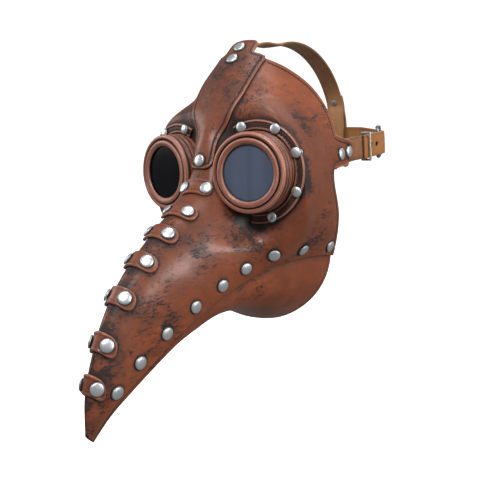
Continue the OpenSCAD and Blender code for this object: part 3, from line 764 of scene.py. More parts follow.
def make_jaw():
    """The jaw: from the lap tucked up inside the face on one side, down round the keel and up
    to the lap on the other, as one grid."""
    s = spread((0, 0.0028, 5), (0.0028, 0.022, 14), (0.022, 0.97, 190), (0.97, 1, 8))
    lap, t = np.linspace(1, 0.12, 7), spread((0, 0.06, 6), (0.06, 1, 44))

    def tucked(s, f):
        up = 1 - f * mix(0.06, 0.17, ease(s / 0.35))
        return face(s, up) - ((wall(s) + LAP_GAP)[..., None]) * normal_of(face, s, up)

    def lower(s, t):
        sink = (wall(s) + LAP_GAP) * (1 - ease(t / 0.5))
        return jaw(s, t) - sink[..., None] * normal_of(jaw, s, t)

    half = np.concatenate([tucked(*np.meshgrid(s, lap, indexing="ij")),
                           lower(*np.meshgrid(s, t, indexing="ij"))], axis=1)
    half[:, -1, 0] = 0
    p = np.concatenate([half, (half * (-1, 1, 1))[:, -2::-1]], axis=1)
    n = grid_normals(p)
    rows = np.broadcast_to(s[:, None], p.shape[:2])
    to_back = near(p, p[0])
    lines = face(np.linspace(0, 1, 300), np.ones(300))
    to_seam = near(p, np.concatenate([lines, lines * (-1, 1, 1)]))
    to_lap = np.minimum(np.linalg.norm(p - p[:, :1], axis=-1), np.linalg.norm(p - p[:, -1:], axis=-1))
    groove = 0.35 * bell(to_back - EDGE_INSET, 0.55) * (to_seam > 6)
    p = p - n * groove[..., None]
    dirt = np.maximum.reduce([0.95 * bell(to_seam, 3.2),
                              0.5 * bell(to_back - EDGE_INSET, 0.9)])
    wear = bell(to_back, 0.9)
    piece = add_shell("jaw_leather", p, n, wall(rows) * 0.97, np.minimum(to_back, to_lap + 0.2),
                      {"dirt": dirt, "wear": wear}, soften=1.1)
    place(piece, look("mask_leather"), "mask_leather", "jaw_panel")


def make_strip():
    """The forehead strip: rings across the ridge of the brow, wide at the top and narrow at the bridge of
    the nose, with a stitch groove down each side."""
    u = spread((0, 0.012, 5), (0.012, 0.988, 180), (0.988, 1, 5))
    f = spread((-1, -0.94, 6), (-0.94, -0.72, 14), (-0.72, 0.72, 34), (0.72, 0.94, 14), (0.94, 1, 6))
    station, wide = strip_ring(u)
    s, f = np.broadcast_arrays(station[:, None], f[None, :])
    r = f * wide[:, None]
    p, _ = above(s, r, np.full(s.shape, size("trim_gap") + size("trim_t")))
    n = grid_normals(p)
    outline = np.concatenate([p[0], p[-1], p[:, 0], p[:, -1]])
    edge = near(p, outline)
    groove = 0.35 * bell(edge - STRIP_INSET, 0.5) * (u < 0.93)[:, None] * (u > 0.28)[:, None]
    feet = above(FOREHEAD_RIVETS, np.zeros(3), np.full(3, size("trim_gap") + size("trim_t")))[0]
    to_rivet = near(p, feet)
    p = p - n * (groove + 0.3 * bell(to_rivet - 5.6, 1.3))[..., None]
    dirt = np.maximum.reduce([0.95 * bell(np.maximum(to_rivet - 5.2, 0), 1.2),
                              0.9 * bell(edge - STRIP_INSET, 0.7)])
    # Paler along the strip's edges.
    wear = bell(edge, 0.85)
    # Darker over the widest part of the strip.
    grime = 0.9 * bell(u - 0.42, 0.16)[:, None] + 0 * f
    piece = add_shell("brow_strip", p, n, size("trim_t"), edge,
                      {"dirt": dirt, "wear": wear, "grime": grime}, soften=0.9)
    place(piece, look("trim_leather"), "trim_leather", "forehead_strip")


def make_bands():
    """The ridge bands: each a strap across the ridge whose ends are rounded off along an ellipse, raised
    along its two long sides."""
    half = size("band_w") / 2
    lift = size("trim_gap") + size("trim_t")
    reach_round = 0.85 * half
    for k, (s0, reach) in enumerate(zip(BAND_S, BAND_REACH)):
        v = spread((-1, -0.86, 6), (-0.86, 0.86, 22), (0.86, 1, 6))[:, None]
        f = spread((-1, -0.95, 8), (-0.95, -0.6, 16), (-0.6, 0.6, 40), (0.6, 0.95, 16), (0.95, 1, 8))
        f = f[None, :]
        speed = np.linalg.norm(middle(BROW, s0 + 0.02) - middle(BROW, s0 - 0.02)) / 0.04
        past = np.clip((abs(f) * reach - reach + reach_round) / reach_round, 0, 1)
        width = half * np.sqrt(1.04 - past * past) / np.sqrt(1.04)
        s, r = np.broadcast_arrays(s0 + v * width / speed, f * reach)
        p, _ = above(s, r, np.full(s.shape, lift))
        n = grid_normals(p)
        edge = near(p, np.concatenate([p[0], p[-1], p[:, 0], p[:, -1]]))
        to_rivet = near(p, band_rivets(k)[0])
        lip = 0.3 * bell(edge - 1.3, 0.7) - 0.3 * bell(to_rivet - 5.6, 1.2)
        p = p + n * lip[..., None]
        facts = {"dirt": np.maximum(0.95 * bell(np.maximum(to_rivet - 5.2, 0), 1.0),
                                    0.4 * bell(edge - 2.6, 0.8)),
                 "wear": 0.9 * bell(edge, 0.8)}
        piece = add_shell(f"ridge_strap_{k + 1}", p, n, size("trim_t"), edge, facts, soften=0.9)
        place(piece, look("trim_leather"), "trim_leather", f"ridge_band_{k + 1}")


def revolve(name, profile, mirror, wobble=0.0, facts=None, steps=168, phase=0.0):
    """Turns a closed outline of (r, h) about the eye's axis; the radius swells and shrinks by
    wobble mm in three and five slow waves round the ring."""
    a = np.linspace(0, 2 * np.pi, steps, endpoint=False)[None, :]
    r, h = profile[:, :1], profile[:, 1:]
    r = r + wobble * (np.sin(3 * a + phase) + 0.6 * np.sin(5 * a + 2.1 * phase + h / 4))
    p = in_eye(r, a, h)
    values = {key: np.broadcast_to(np.asarray(v)[:, None], p.shape[:2])
              for key, v in (facts or {}).items()}
    quads = grid_quads(*p.shape[:2], wrap_rows=True, wrap_cols=True)
    return add_mesh(name, p, quads, values, mirror=mirror)


def corner_dirt(profile, spots, spread_mm=0.9):
    """Dirt along an outline: 1 at the given (r, h) spots, fading over spread_mm."""
    d = np.linalg.norm(profile[:, None] - np.array(spots, float)[None], axis=-1).min(1)
    return bell(d, spread_mm)


def make_flange(side):
    """The riveted ring round the eyecup, open at the nose: a flat band between two stitched
    beads, sunk between them, with rounded ends."""
    inner, outer = size("cup_r") + 0.3, size("flange_r")
    a0, a1 = np.radians(-98.0), np.radians(120.0)
    a = spread((a0, a0 + 0.04, 6), (a0 + 0.04, a1 - 0.04, 190), (a1 - 0.04, a1, 6))[:, None]
    r = spread((inner, inner + 0.8, 5), (inner + 0.8, outer - 0.8, 22), (outer - 0.8, outer, 5))
    r = r[None, :]
    bead = 0.45 * (bell(r - inner - 1.5, 0.75) + bell(r - outer + 1.4, 0.7))
    line = 0.35 * (bell(r - inner - 2.9, 0.3) + bell(r - outer + 2.7, 0.3))
    top = 2.85 + bead - line - 0.25 + 0.0 * a
    p = in_eye(r, a, top)
    n = grid_normals(p)
    n = n * np.where((n @ EYE_N)[..., None] < 0, -1.0, 1.0)
    edge = np.minimum(np.minimum(r - inner, outer - r) + 0 * a,
                      np.minimum(a - a0, a1 - a) * (inner + outer) / 2)
    feet = in_eye(flange_rivet_r(), FLANGE_ANGLES, 3.0)
    to_rivet = near(p, feet)
    dirt = np.maximum.reduce([0.95 * bell(np.maximum(to_rivet - 4.3, 0), 1.6),
                              0.9 * bell(r - inner, 0.9) + 0 * a,
                              0.75 * bell(r - (inner + outer) / 2, 2.2) + 0 * a])
    wear = np.maximum(bell(r - outer + 0.9, 0.6), 0.8 * bell(r - inner - 1.4, 0.5))
    piece = add_shell(side + "_eye_ring", p, n, 2.5, edge, {"dirt": dirt, "wear": wear + 0 * a},
                      mirror=SIDES[side], soften=0.8)
    place(piece, look("flange_leather"), "flange_leather", side + "_eye_flange")
    rows = [(inner + 2.9, 2.62), (outer - 2.7, 2.62)]
    angles = [np.arange(a0 + 0.05, a1 - 0.04, size("stitch_pitch") / row) for row, _ in rows]
    points = np.concatenate([in_eye(row, ang, high) for (row, high), ang in zip(rows, angles)])
    along = np.concatenate([in_eye(1.0, ang + np.pi / 2, 0.0) - EYE for ang in angles])
    clear = near(points, feet) > 5.0
    make_stitches(side + "_eye_ring_stitches", points[clear], along[clear],
                  np.broadcast_to(EYE_N, points.shape)[clear], SIDES[side], "flange_leather", 1.7)


def make_eye(side):
    """The eyecup, the rim, the lens and the lens ring, all turned about the eye's axis."""
    m, phase = SIDES[side], 0.4 if side == "left" else 1.7
    c, h = size("cup_r"), size("cup_h")
    cup = fillet([(27, -6), (c, -6), (c, 0.6), (c, 2.6), (c - 0.4, 3.6), (c - 1.6, 4.1),
                  (c - 1.6, 5.0), (c - 0.5, 5.6), (c - 0.3, 7.2), (c - 0.6, 8.7), (c - 2.0, 9.3),
                  (c - 2.0, 10.1), (c - 1.2, 10.7), (c - 1.3, 12.2), (c - 2.6, 12.9), (c - 3.1, h),
                  (25.5, h), (25.5, h - 2), (27, h - 3.5)], 0.8)
    seams = [(c - 1.6, 4.5), (c - 2.0, 9.7), (c - 3.1, h - 0.6), (c, 0.4), (c - 2.8, 13.6)]
    facts = {"dirt": 0.92 * corner_dirt(cup, seams, 0.95),
             "wear": 0.75 * corner_dirt(cup, [(c - 0.1, 2.4), (c - 0.3, 6.9), (c - 1.2, 11.2)], 0.6)}
    piece = revolve(side + "_cup", cup, m, 0.11, facts, phase=phase)
    place(piece, look("eyecup_moulding"), "eyecup_moulding", side + "_eyecup")
    g, r = 28.6, size("rim_r")
    rim = fillet([(g + 0.3, h + 0.05), (r - 0.6, h + 0.05), (r, h + 0.8), (r, h + 2.5),
                  (r - 0.6, h + 3.7), (r - 1.9, h + 4.35), (r - 3.2, h + 4.2), (g + 0.5, h + 3.3),
                  (g + 0.3, h + 2.4)], 0.9)
    facts = {"dirt": np.maximum(0.95 * corner_dirt(rim, [(g + 0.3, h + 2.4), (g + 0.3, h + 1)], 1.0),
                                0.8 * corner_dirt(rim, [(r - 0.2, h + 0.2)], 0.8)),
             "wear": 0.8 * corner_dirt(rim, [(r - 1.2, h + 4.2), (r, h + 2.6)], 0.7)}
    # The rim takes the lighter, pinker copy of the goggle colour: painted highlight.
    piece = revolve(side + "_front_rim", rim, m, 0.08, facts, phase=phase + 1)
    place(piece, look("rim_moulding"), "rim_moulding", side + "_rim")
    v, z = size("view_r"), h + 2.1
    ring = fillet([(v, z), (g - 0.3, z), (g - 0.3, z + 1.3), (g - 0.9, z + 2.2), (g - 2.0, z + 2.75),
                   (v + 2.2, z + 2.7), (v + 0.9, z + 2.0), (v, z + 0.9)], 0.8)
    facts = {"dirt": np.maximum(0.95 * corner_dirt(ring, [(g - 0.3, z + 0.8)], 1.1),
                                0.9 * corner_dirt(ring, [(v, z + 0.3)], 0.8)),
             "wear": 0.7 * corner_dirt(ring, [(g - 1.2, z + 2.5), (v + 0.6, z + 1.8)], 0.6)}
    # The lens ring takes the lightest copy of the goggle colour: painted highlight.
    piece = revolve(side + "_lens_bezel", ring, m, 0.06, facts, phase=phase + 2)
    place(piece, look("lens_ring_moulding"), "lens_ring_moulding", side + "_lens_ring")
    make_lens(side, m, h, g - 0.6)


def make_lens(side, mirror, h, radius):
    """The lens: a disc whose front rises by the square of the distance from its rim, with an upright edge
    and a flat back; the pole is welded shut."""
    f = np.linspace(0, 1, 26)
    front = np.stack([radius * f, h + 1.5 + 0.5 * (1 - f ** 2)], -1)
    side_wall = np.array([(radius, h + 1.2), (radius, h + 0.5)])
    back = np.stack([radius * f[::-1], np.full(26, h + 0.15)], -1)
    profile = np.concatenate([front, side_wall, back])
    a = np.linspace(0, 2 * np.pi, 96, endpoint=False)[None, :]
    p = in_eye(profile[:, :1], a, profile[:, 1:])
    dirt = np.broadcast_to(bell(profile[:, 0] - size("view_r"), 0.7)[:, None], p.shape[:2])
    quads = grid_quads(*p.shape[:2], wrap_cols=True)
    piece = add_mesh(side + "_eye_glass", p, quads, {"dirt": dirt}, weld=True, mirror=mirror)
    # The near lens gets the copy with a painted reflection, the far lens the copy with painted shade.
    name = "near_lens" if side == "left" else "far_lens"
    place(piece, look(name), "smoked_lens", side + "_lens")


def make_rivets(name, node, feet, normals, grip, mirror=1.0, cap=None, burr=3.2, dimples=()):
    """A row of rivets. Each is one outline turned about its own normal: washer, post, a cap
    that flares out and a low dome, tilted and dented a little by random draws."""
    cap = cap or size("cap_r")
    top = size("cap_h")
    a = np.radians(np.linspace(82, 0, 9))
    dome = np.stack([cap * np.sin(a), 0.6 + (top - 0.6) * np.cos(a) ** 0.8], -1)
    feet, normals = np.atleast_2d(feet), unit(np.atleast_2d(normals))
    grips = np.broadcast_to(grip, len(feet))
    foot = np.array([(0, -1.0), (burr - 0.3, -1.0), (burr, -0.75), (burr, -0.2), (1.6, 0.0)])
    head = np.array([(1.6, 0.02), (cap - 0.5, 0.02), (cap - 0.05, 0.18), (cap, 0.4)])
    steps = 30
    turn = np.linspace(0, 2 * np.pi, steps, endpoint=False)
    draw = np.random.default_rng(size("seed") + len(name) * 13)
    points, rims = [], []
    for k, (foot_at, n, depth) in enumerate(zip(feet, normals, grips)):
        outline = np.concatenate([foot - (0, depth), head, dome])
        across = unit(np.cross(n, (0.31, 0.2, 0.93)))
        other = np.cross(n, across)
        tilt = draw.normal(0, 0.02, 2)
        r, z = outline[:, :1], outline[:, 1:].copy()
        on_top = (z > 0.5) * 1.0
        dent = 0.1 * draw.normal() * np.sin(2 * turn + draw.uniform(0, 6)) * (r / cap)
        dent = dent - 0.12 * draw.random() * np.exp(-((r * np.cos(turn) - draw.normal(0, 2)) ** 2
                                                      + (r * np.sin(turn) - draw.normal(0, 2)) ** 2) / 1.6)
        if k in dimples:
            dent = dent - 1.1 * bell(r, 1.5) + 0 * turn
        high = z + on_top * dent
        x, y = r * np.cos(turn), r * np.sin(turn)
        high = high + (tilt[0] * x + tilt[1] * y) * (z > -0.01)
        points.append(foot_at + x[..., None] * across + y[..., None] * other + high[..., None] * n)
        rims.append(np.where(z > -0.01, r / cap, 1.0) + 0 * turn)
    points = np.stack(points)
    rows = points.shape[1]
    one = grid_quads(rows, steps, wrap_cols=True)
    quads = (one[None] + (np.arange(len(feet)) * rows * steps)[:, None, None]).reshape(-1, 4)
    piece = add_mesh(name, points, quads, {"rim": np.stack(rims)}, weld=True, mirror=mirror)
    place(piece, look("rivet_steel"), "rivet_steel", node)


def make_stitches(name, points, along, normals, mirror, slot, length=2.0, radius=0.44):
    """A row of stitches: each a spindle lying along the seam, a little sunk in the leather,
    round in section and swelling from its ends as a half sine."""
    f = np.linspace(0, 1, 6)
    width = np.sqrt(np.maximum(np.sin(np.pi * f), 0.05))
    turn = np.linspace(0, 2 * np.pi, 6, endpoint=False)
    along, normals = unit(along), unit(normals)
    side = np.cross(along, normals)
    shape = (points[:, None, None] + (f - 0.5)[None, :, None, None] * length * along[:, None, None]
             + (radius * width[:, None] * np.cos(turn))[None, ..., None] * side[:, None, None]
             + (radius * width[:, None] * np.sin(turn))[None, ..., None] * normals[:, None, None])
    one = grid_quads(6, 6, wrap_cols=True)
    caps = np.array([(0, 1, 2, 3), (0, 3, 4, 5), (33, 32, 31, 30), (35, 34, 33, 30)])
    one = np.concatenate([one, caps])
    quads = (one[None] + (np.arange(len(points)) * 36)[:, None, None]).reshape(-1, 4)
    piece = add_mesh(name, shape, quads, mirror=mirror)
    place(piece, look("thread"), slot)


def resample(points, pitch):
    """Even steps of about pitch along a polyline, with the direction at each."""
    run = run_along(points)
    at = np.linspace(0, run[-1], max(2, int(run[-1] / pitch)))
    even = np.stack([np.interp(at, run, points[:, k]) for k in range(3)], -1)
    return even, np.gradient(even, axis=0)


def make_panel_stitches(side):
    """Stitches in the groove inside the face's back edge: the edge line moved 4.6 mm in and
    set on the nearest point of the face."""
    edge_t = np.linspace(0.17, 0.955, 900)
    rim = face(np.zeros(900), edge_t)
    n = normal_of(face, np.zeros(900) + 0.002, edge_t)
    inward = unit(np.cross(n, np.gradient(rim, axis=0)))
    middle_way = face(np.full(900, 0.02), edge_t) - rim
    inward = inward * np.sign(np.sum(inward * middle_way, -1, keepdims=True))
    line = rim + EDGE_INSET * inward
    whole = face(np.zeros(900), np.linspace(0, 1, 900))
    line = line[near(line, whole) > EDGE_INSET - 0.25]
    s, t = np.meshgrid(np.linspace(0, 0.075, 110), np.linspace(0.14, 0.98, 620), indexing="ij")
    ground = face(s, t).reshape(-1, 3)
    even, _ = resample(line, size("stitch_pitch"))
    nearest = np.array([np.argmin(np.linalg.norm(ground - q, axis=1)) for q in even])
    on = ground[nearest]
    along = np.gradient(on, axis=0)
    up = normal_of(face, s.ravel()[nearest], t.ravel()[nearest])
    smooth = np.linalg.norm(along, axis=1) < 2 * size("stitch_pitch")
    away = near(on, face(*TAB_RIVETS.T)) > 6.0
    ok = smooth & away
    make_stitches(side + "_face_stitches", (on - 0.16 * up)[ok], along[ok], up[ok], SIDES[side],
                  "mask_leather")


def make_strip_stitches():
    """Two rows of stitches in the strip's grooves, 3.2 mm in from its sides."""
    lift = size("trim_gap") + size("trim_t")
    for name, sign in SIDES.items():
        u = np.linspace(0.3, 0.925, 400)
        s, r = strip_ring(u)
        p, _ = above(s, r - STRIP_INSET, np.full(400, lift - 0.16))
        even, along = resample(p, 2.7)
        u2 = np.interp(np.linspace(0, 1, len(even)), np.linspace(0, 1, 400), u)
        s2, r2 = strip_ring(u2)
        _, up = above(s2, r2 - STRIP_INSET, np.full(len(even), lift))
        make_stitches(f"brow_strip_{name}_stitches", even, along, up, sign, "trim_leather", 1.8)


# ---------------------------------------------------------------- harness

STRAP_RISE, STRAP_Z = radians(8.8), 22.9
BAR = np.array([76.2, 39.5])
FRAME_TURN = radians(23.6)
HEAD_X, HEAD_Y = 78.4, 98.6
ANCHOR_X = 77.6
BAR_R, BAR_PLAY, BUCKLE_L = 1.6, 0.08, 21.0
# Crown strap: an ellipse about a centre at that height, and where the loop's rivet sits on it
CROWN_Z, CROWN_R = 38.0, np.array([97.2, 87.0])
CROWN_RIVET, CROWN_LEAN = radians(26.0), radians(2.6)


def raised(p):
    """From the strap's flat drawing (x, v, w) to its plane, which rises to the back."""
    x, v, w = np.moveaxis(p, -1, 0)
    return np.stack([x, v * np.cos(STRAP_RISE) - w * np.sin(STRAP_RISE),
                     STRAP_Z + v * np.sin(STRAP_RISE) + w * np.cos(STRAP_RISE)], -1)


def in_buckle(e, o):
    """Point of the drawing at e along the buckle from its hinge bar and o outwards."""
    return BAR + e * np.array([-np.sin(FRAME_TURN), np.cos(FRAME_TURN)]) \
        + o * np.array([np.cos(FRAME_TURN), np.sin(FRAME_TURN)])


def ribbon(name, path, width, to_space, slot, node, holes=(), mirror=1.0, step=1.0):
    """A strap of even thickness along a path: the smooth curve through the path's points, carried across
    its width, with a slight crown across it and each hole drawn to a true round.
    A hole is two places along the path and a radius; a slot has two different ones."""
    thick = size("strap_t")
    fine = curve(path, np.linspace(0, 1, 3000))
    run = run_along(fine)
    across_n = unit(np.gradient(fine, axis=0)) @ np.array([[0.0, -1.0], [1.0, 0.0]])
    length = run[-1]
    u = spread((0, 1, 5), (1, length - 1, int(length / step)), (length - 1, length, 5))
    half = width / 2
    w = spread((-half, -half + 1, 5), (-half + 1, half - 1, 20), (half - 1, half, 5))
    u, w = np.meshgrid(u, w, indexing="ij")
    keep = np.ones((u.shape[0] - 1, u.shape[1] - 1), bool)
    hole_edge = np.full(u.shape, 99.0)
    for start, end, radius in holes:
        near_u = np.clip(u, start, end)
        d = np.hypot(u - near_u, w)
        inside = d < radius - 0.25
        drop, ring = hole_cells(inside)
        scale = radius / np.maximum(d, 0.1)
        u, w = np.where(ring, near_u + (u - near_u) * scale, u), np.where(ring, w * scale, w)
        keep &= ~drop
        hole_edge = np.minimum(hole_edge, np.abs(np.hypot(u - near_u, w) - radius))
    centre = np.stack([np.interp(u, run, fine[:, k]) for k in (0, 1)], -1)
    n2 = unit(np.stack([np.interp(u, run, across_n[:, k]) for k in (0, 1)], -1))
    crown = 0.12 * (1 - (w / half) ** 2)
    raised_by = (thick / 2 - 0.12 + crown)[..., None]
    outer = to_space(np.concatenate([centre + n2 * raised_by, w[..., None]], -1))
    inner = to_space(np.concatenate([centre, w[..., None]], -1))
    n = unit(outer - inner)
    edge = np.minimum(np.minimum(half - np.abs(w), np.minimum(u, length - u)), hole_edge + 0.15)
    sides = half - np.abs(w)
    dirt = np.maximum(0.9 * bell(sides, 0.7), 0.8 * bell(hole_edge, 0.8))
    dirt = np.maximum(dirt, 0.5 * bell(sides - 2.2, 0.35))
    groove = 0.2 * bell(sides - 2.2, 0.35)
    piece = add_shell(name, outer - n * groove[..., None], n, thick - 0.14, edge,
                      {"dirt": dirt, "wear": 0 * dirt}, keep, mirror, 0.8)
    place(piece, look(slot), slot, node)


def path_at(path, point):
    """Distance along the smooth curve of the place nearest to a point."""
    fine = curve(path, np.linspace(0, 1, 3000))
    run = run_along(fine)
    return float(run[np.argmin(np.linalg.norm(fine - point, axis=1))])


def make_back_strap():
    tongue_x = ANCHOR_X + size("strap_t") + 0.4
    round_head = np.radians(np.arange(62, 91, 7.0))
    half = np.concatenate([
        [(tongue_x, 1), (tongue_x, 10), (tongue_x, 18), (81.4, 29), (82.2, 36)],
        [in_buckle(-0.5, 5.8), in_buckle(4.5, 4.7), in_buckle(12, 1), in_buckle(21, -2.6),
         in_buckle(27, -3.8)],
        np.stack([HEAD_X * np.cos(round_head), HEAD_Y * np.sin(round_head)], -1)])
    path = np.concatenate([half, (half * (-1, 1))[-2::-1]])
    hole_r = 1.9
    spots = [((tongue_x, v), (tongue_x, v)) for v in (14.5, 25.5)]
    spots.append((in_buckle(9 - 3.4, 2.4), in_buckle(9 + 3.4, 2.4)))
    holes = []
    for m in (1, -1):
        for a, b in spots:
            ends = sorted(path_at(path, np.array(q) * (m, 1)) for q in (a, b))
            if ends[1] - ends[0] < 1:
                ends[1] = ends[0]
            holes.append((*ends, hole_r))
    ribbon("head_strap", path, size("strap_w"), raised, "strap_leather", "back_strap", holes)


def make_anchor(side):
    fold_r = BAR_R + BAR_PLAY + size("strap_t") / 2
    bend = np.radians(np.arange(5, 246, 20.0))
    path = np.concatenate([
        [(73.2, -48), (73.2, -34), (73.6, -22), (74.3, -9), (76, -2.5), (ANCHOR_X, 3.5), (ANCHOR_X, 20),
         (78, 31)],
        BAR + fold_r * np.stack([np.cos(bend), np.sin(bend)], -1),
        [(73.8, 33), (74.6, 27), (74.9, 22)]])
    at = path_at(path, BAR + fold_r * np.array([np.cos(1.6), np.sin(1.6)]))
    # The side strap takes the darker strap leather, partly painted shade.
    ribbon(side + "_side_strap", path, size("strap_w"), raised, "anchor_leather",
           side + "_anchor_strap", [(at - 5.2, at + 4.2, 2.6)], SIDES[side], 0.8)


def make_crown():
    lap = size("strap_t") + 0.2

    def on_crown(degrees, out=0.0):
        a = np.radians(np.atleast_1d(degrees).astype(float))
        return np.stack([(CROWN_R[0] + out) * np.cos(a),
                         CROWN_Z + (CROWN_R[1] + out) * np.sin(a)], -1)

    def loop(v, w):
        return raised(np.array([0.0, v, w]))[1:]

    inner, outer, low = HEAD_Y - 3.8, HEAD_Y + 3, size("strap_w") / 2 + 2
    path = np.concatenate([
        [(-98.2, 86.2), (-90.6, 94.5), (-85.6, 100.2), (-80, 108.2), (-73, 112.6), (-58, 117)],
        on_crown(np.arange(112, 23, -8)),
        [(90, 64), loop(inner, 16), loop(inner, -low), loop(inner + 1.2, -low - 2.6),
         loop(HEAD_Y - 0.4, -low - 3.6), loop(outer - 1.2, -low - 2.6), loop(outer, -low),
         loop(outer, 16), (93.8, 65.5)],
        on_crown([24, 30], lap)])

    def to_space(p):
        return np.stack([-p[..., 2], p[..., 0], p[..., 1]], -1)

    # the path runs from front to back, so the width runs towards -X
    ribbon("top_strap", path, 20.0, to_space, "crown_leather", "crown_strap")


def round_bar(name, path, radii, mirror, steps=16):
    """A bar of round section along a closed path of points, each section square to the path."""
    ahead = unit(np.roll(path, -1, 0) - np.roll(path, 1, 0))
    up = unit(np.cross(np.broadcast_to((0.0, 0.4, 0.1), path.shape), ahead) + 1e-9)
    side = np.cross(ahead, up)
    a = np.linspace(0, 2 * np.pi, steps, endpoint=False)
    r = np.broadcast_to(radii, len(path))[:, None]
    p = (path[:, None] + (r * np.cos(a))[..., None] * up[:, None]
         + (r * np.sin(a))[..., None] * side[:, None])
    return add_mesh(name, p, grid_quads(len(path), steps, wrap_rows=True, wrap_cols=True),
                    mirror=mirror)


def make_buckle(side):
    """The buckle frame: one bar bent round a rectangle with rounded corners; the hinge bar is
    the slimmest stretch."""
    half, long, out = size("strap_w") / 2 + 3, BUCKLE_L, 1.0
    corner, per = 3.0, 10
    turns = np.linspace(0, np.pi / 2, per)
    corners = [(long - corner, half - corner, 0), (corner, half - corner, 1),
               (corner, corner - half, 2), (long - corner, corner - half, 3)]
    parts = []
    for e, w, k in corners:
        a = turns + k * np.pi / 2
        parts.append(np.stack([e + corner * np.cos(a), w + corner * np.sin(a)], -1))
    ring = np.concatenate(parts)
    ring = np.concatenate([ring, ring[:1]])
    run = run_along(ring)
    at = np.linspace(0, run[-1], 120, endpoint=False)
    e, w = (np.interp(at, run, ring[:, k]) for k in (0, 1))
    o = out * e / long
    plane = np.stack([in_buckle(a, b) for a, b in zip(e, o)])
    radius = mix(BAR_R, 2.25, ease((e - 1.5) / 3))
    path = raised(np.concatenate([plane, w[:, None]], -1))
    piece = round_bar(side + "_buckle", path, radius, SIDES[side])
    place(piece, look("pewter"), "pewter", side + "_buckle_frame", body=side + "_buckle")


# ---------------------------------------------------------------- operators and panel

class Step:
    """What the building steps share."""
    bl_options = {"REGISTER", "UNDO"}


class MASK_OT_panels(Step, bpy.types.Operator):
    """Build the two halves of the face and their edge stitches"""
    bl_idname, bl_label = "mask.panels", "Face Panels"

    def execute(self, context):
        for side in SIDES:
            make_face_panel(side)
            make_panel_stitches(side)
        return {"FINISHED"}


class MASK_OT_jaw(Step, bpy.types.Operator):
    """Build the jaw"""
    bl_idname, bl_label = "mask.jaw", "Jaw"

    def execute(self, context):
        make_jaw()
        return {"FINISHED"}


class MASK_OT_trim(Step, bpy.types.Operator):
    """Build the forehead strip with its stitches and the bands across the ridge"""
    bl_idname, bl_label = "mask.trim", "Strip and Bands"

    def execute(self, context):
        make_strip()
        make_strip_stitches()
        make_bands()
        return {"FINISHED"}


class MASK_OT_eyes(Step, bpy.types.Operator):
    """Build both eyes: riveted ring, eyecup, rim, lens and lens ring"""
    bl_idname, bl_label = "mask.eyes", "Eyes"

    def execute(self, context):
        for side in SIDES:
            make_flange(side)
            make_eye(side)
        return {"FINISHED"}


class MASK_OT_rivets(Step, bpy.types.Operator):
    """Build every row of rivets"""
    bl_idname, bl_label = "mask.rivets", "Rivets"

    def execute(self, context):
        leather, strap = size("leather_t"), size("strap_t")
        lift = size("trim_gap") + size("trim_t")
        rows = [band_rivets(k) for k in range(len(BAND_S))]
        make_rivets("ridge_studs", "ridge_band_rivets", np.concatenate([r[0] for r in rows]),
                    np.concatenate([r[1] for r in rows]), np.repeat(lift + wall(BAND_S), 2), burr=2.4)
        feet, n = above(FOREHEAD_RIVETS, np.zeros(3), np.full(3, lift))
        make_rivets("brow_studs", "forehead_rivets", feet, n,
                    lift + leather + (strap + CROWN_GAP) * np.array([1, 1, 0]))
        for side, m in SIDES.items():
            feet, n = seam_feet()
            make_rivets(side + "_seam_studs", side + "_seam_rivets", feet, n,
                        2 * wall(SEAM_RIVETS[:, 0]) + LAP_GAP, m)
            feet, n = face(*TAB_RIVETS.T), normal_of(face, *TAB_RIVETS.T)
            make_rivets(side + "_tab_studs", side + "_tab_rivets", feet, n,
                        leather + strap + TAB_GAP, m)
            feet = in_eye(flange_rivet_r(), FLANGE_ANGLES, 3.1)
            make_rivets(side + "_eye_studs", side + "_flange_rivets", feet,
                        np.broadcast_to(EYE_N, feet.shape), 3.1 + leather, m, 4.4, dimples=(4,))
        lap = strap + 0.2 + strap / 2
        at = np.array([0, (CROWN_R[0] + lap) * np.cos(CROWN_RIVET),
                       CROWN_Z + (CROWN_R[1] + lap) * np.sin(CROWN_RIVET)])
        tilt = CROWN_RIVET + CROWN_LEAN
        make_rivets("top_strap_stud", "crown_strap_rivet", at,
                    np.array([0, np.cos(tilt), np.sin(tilt)]), 2 * strap + 0.3)
        return {"FINISHED"}


class MASK_OT_harness(Step, bpy.types.Operator):
    """Build the straps and buckles, and finish the prongs and wire keepers"""
    bl_idname, bl_label = "mask.harness", "Harness"

    def execute(self, context):
        make_back_strap()
        make_crown()
        for side in SIDES:
            make_anchor(side)
            make_buckle(side)
            for part, slot in (("buckle_prong", "pewter"), ("strap_keeper", "keeper_wire")):
                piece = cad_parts[f"{side}_{part}"]
                piece.data.materials.clear()
                piece.data.materials.append(look(slot))
        return {"FINISHED"}


# Lamps: name, place in metres, width, power
LAMPS = (("key", (0.5, -1.3, 1.2), 0.45, 27.0), ("fill", (-1.3, -0.7, 0.5), 0.9, 9.0),
         ("top", (0.1, 0.1, 1.5), 0.8, 9.0), ("back", (-0.3, 1.3, 0.9), 1.0, 9.0),
         ("side", (1.5, 0.1, 0.4), 0.6, 20.0))
WORLD_LIGHT = 0.26


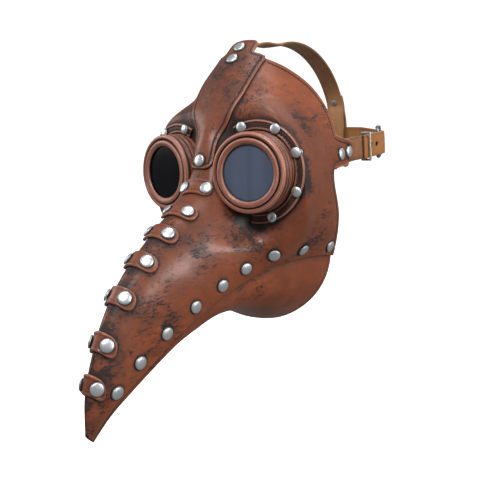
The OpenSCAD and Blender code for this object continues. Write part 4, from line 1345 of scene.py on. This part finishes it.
class MASK_OT_stage(Step, bpy.types.Operator):
    """Build the floor, the lights and the camera"""
    bl_idname, bl_label = "mask.stage", "Stage"

    def execute(self, context):
        scene = context.scene
        floor_z = CAD_BOX[0][2] / MM - 2.0
        run = np.linspace(0, 1, 60)[:, None]
        turn = np.linspace(0, 2 * np.pi, 96, endpoint=False)[None, :]
        reach = 0.5 + 3200 * run
        rise = 3000 * np.maximum(run - 0.5, 0) ** 2 * 4
        p = np.stack(np.broadcast_arrays(reach * np.cos(turn), reach * np.sin(turn),
                                         floor_z + rise), -1)
        floor = add_mesh("floor", p, grid_quads(60, 96, wrap_cols=True))
        floor.data.materials.append(look("studio_white"))
        floor.visible_glossy = floor.visible_diffuse = False
        aim = np.array([0.0, -0.1, 0.0])
        for name, at, span, power in LAMPS:
            lamp = bpy.data.lights.new(name, "AREA")
            lamp.shape, lamp.size, lamp.energy = "DISK", span, power
            held = bpy.data.objects.new(name, lamp)
            held.location = at
            back = unit(np.array(at) - aim)
            held.rotation_euler = (np.arccos(back[2]), 0, np.arctan2(back[1], back[0]) + np.pi / 2)
            scene.collection.objects.link(held)
        world = bpy.data.worlds.new("studio")
        world.use_nodes = True
        background = world.node_tree.nodes["Background"].inputs
        background["Color"].default_value = (1, 1, 1, 1)
        background["Strength"].default_value = WORLD_LIGHT
        scene.world = world
        scene.view_settings.view_transform = "Standard"
        camera = bpy.data.objects.new("camera", bpy.data.cameras.new("camera"))
        camera.data.lens, camera.data.sensor_width = 44.64, 36.0
        camera.location = (0.3461, -0.5402, 0.0074)
        camera.rotation_euler = (radians(82.11), 0, radians(36.46))
        camera.data.clip_start = 0.01
        scene.collection.objects.link(camera)
        scene.camera = camera
        return {"FINISHED"}


STEPS = (MASK_OT_stage, MASK_OT_panels, MASK_OT_jaw, MASK_OT_trim, MASK_OT_eyes, MASK_OT_rivets,
         MASK_OT_harness)


class MASK_PT_builder(bpy.types.Panel):
    """Lists the building steps and the main sizes and colours"""
    bl_idname, bl_label = "MASK_PT_builder", "Beaked Mask"
    bl_space_type, bl_region_type, bl_category = "VIEW_3D", "UI", "Mask"

    def draw(self, context):
        for group in (context.scene.mask_sizes, context.scene.mask_colours):
            for name in group.bl_rna.properties.keys()[2:]:
                self.layout.prop(group, name)
        for step in STEPS:
            self.layout.operator(step.bl_idname)


CLASSES = (MaskSizes, MaskColours, *STEPS, MASK_PT_builder)


def register():
    for cls in CLASSES:
        bpy.utils.register_class(cls)
    bpy.types.Scene.mask_sizes = PointerProperty(type=MaskSizes)
    bpy.types.Scene.mask_colours = PointerProperty(type=MaskColours)


def unregister():
    del bpy.types.Scene.mask_sizes
    del bpy.types.Scene.mask_colours
    for cls in reversed(CLASSES):
        bpy.utils.unregister_class(cls)


def main():
    register()
    for step in STEPS:
        group, name = step.bl_idname.split(".")
        getattr(getattr(bpy.ops, group), name)()


if __name__ == "__main__":
    main()
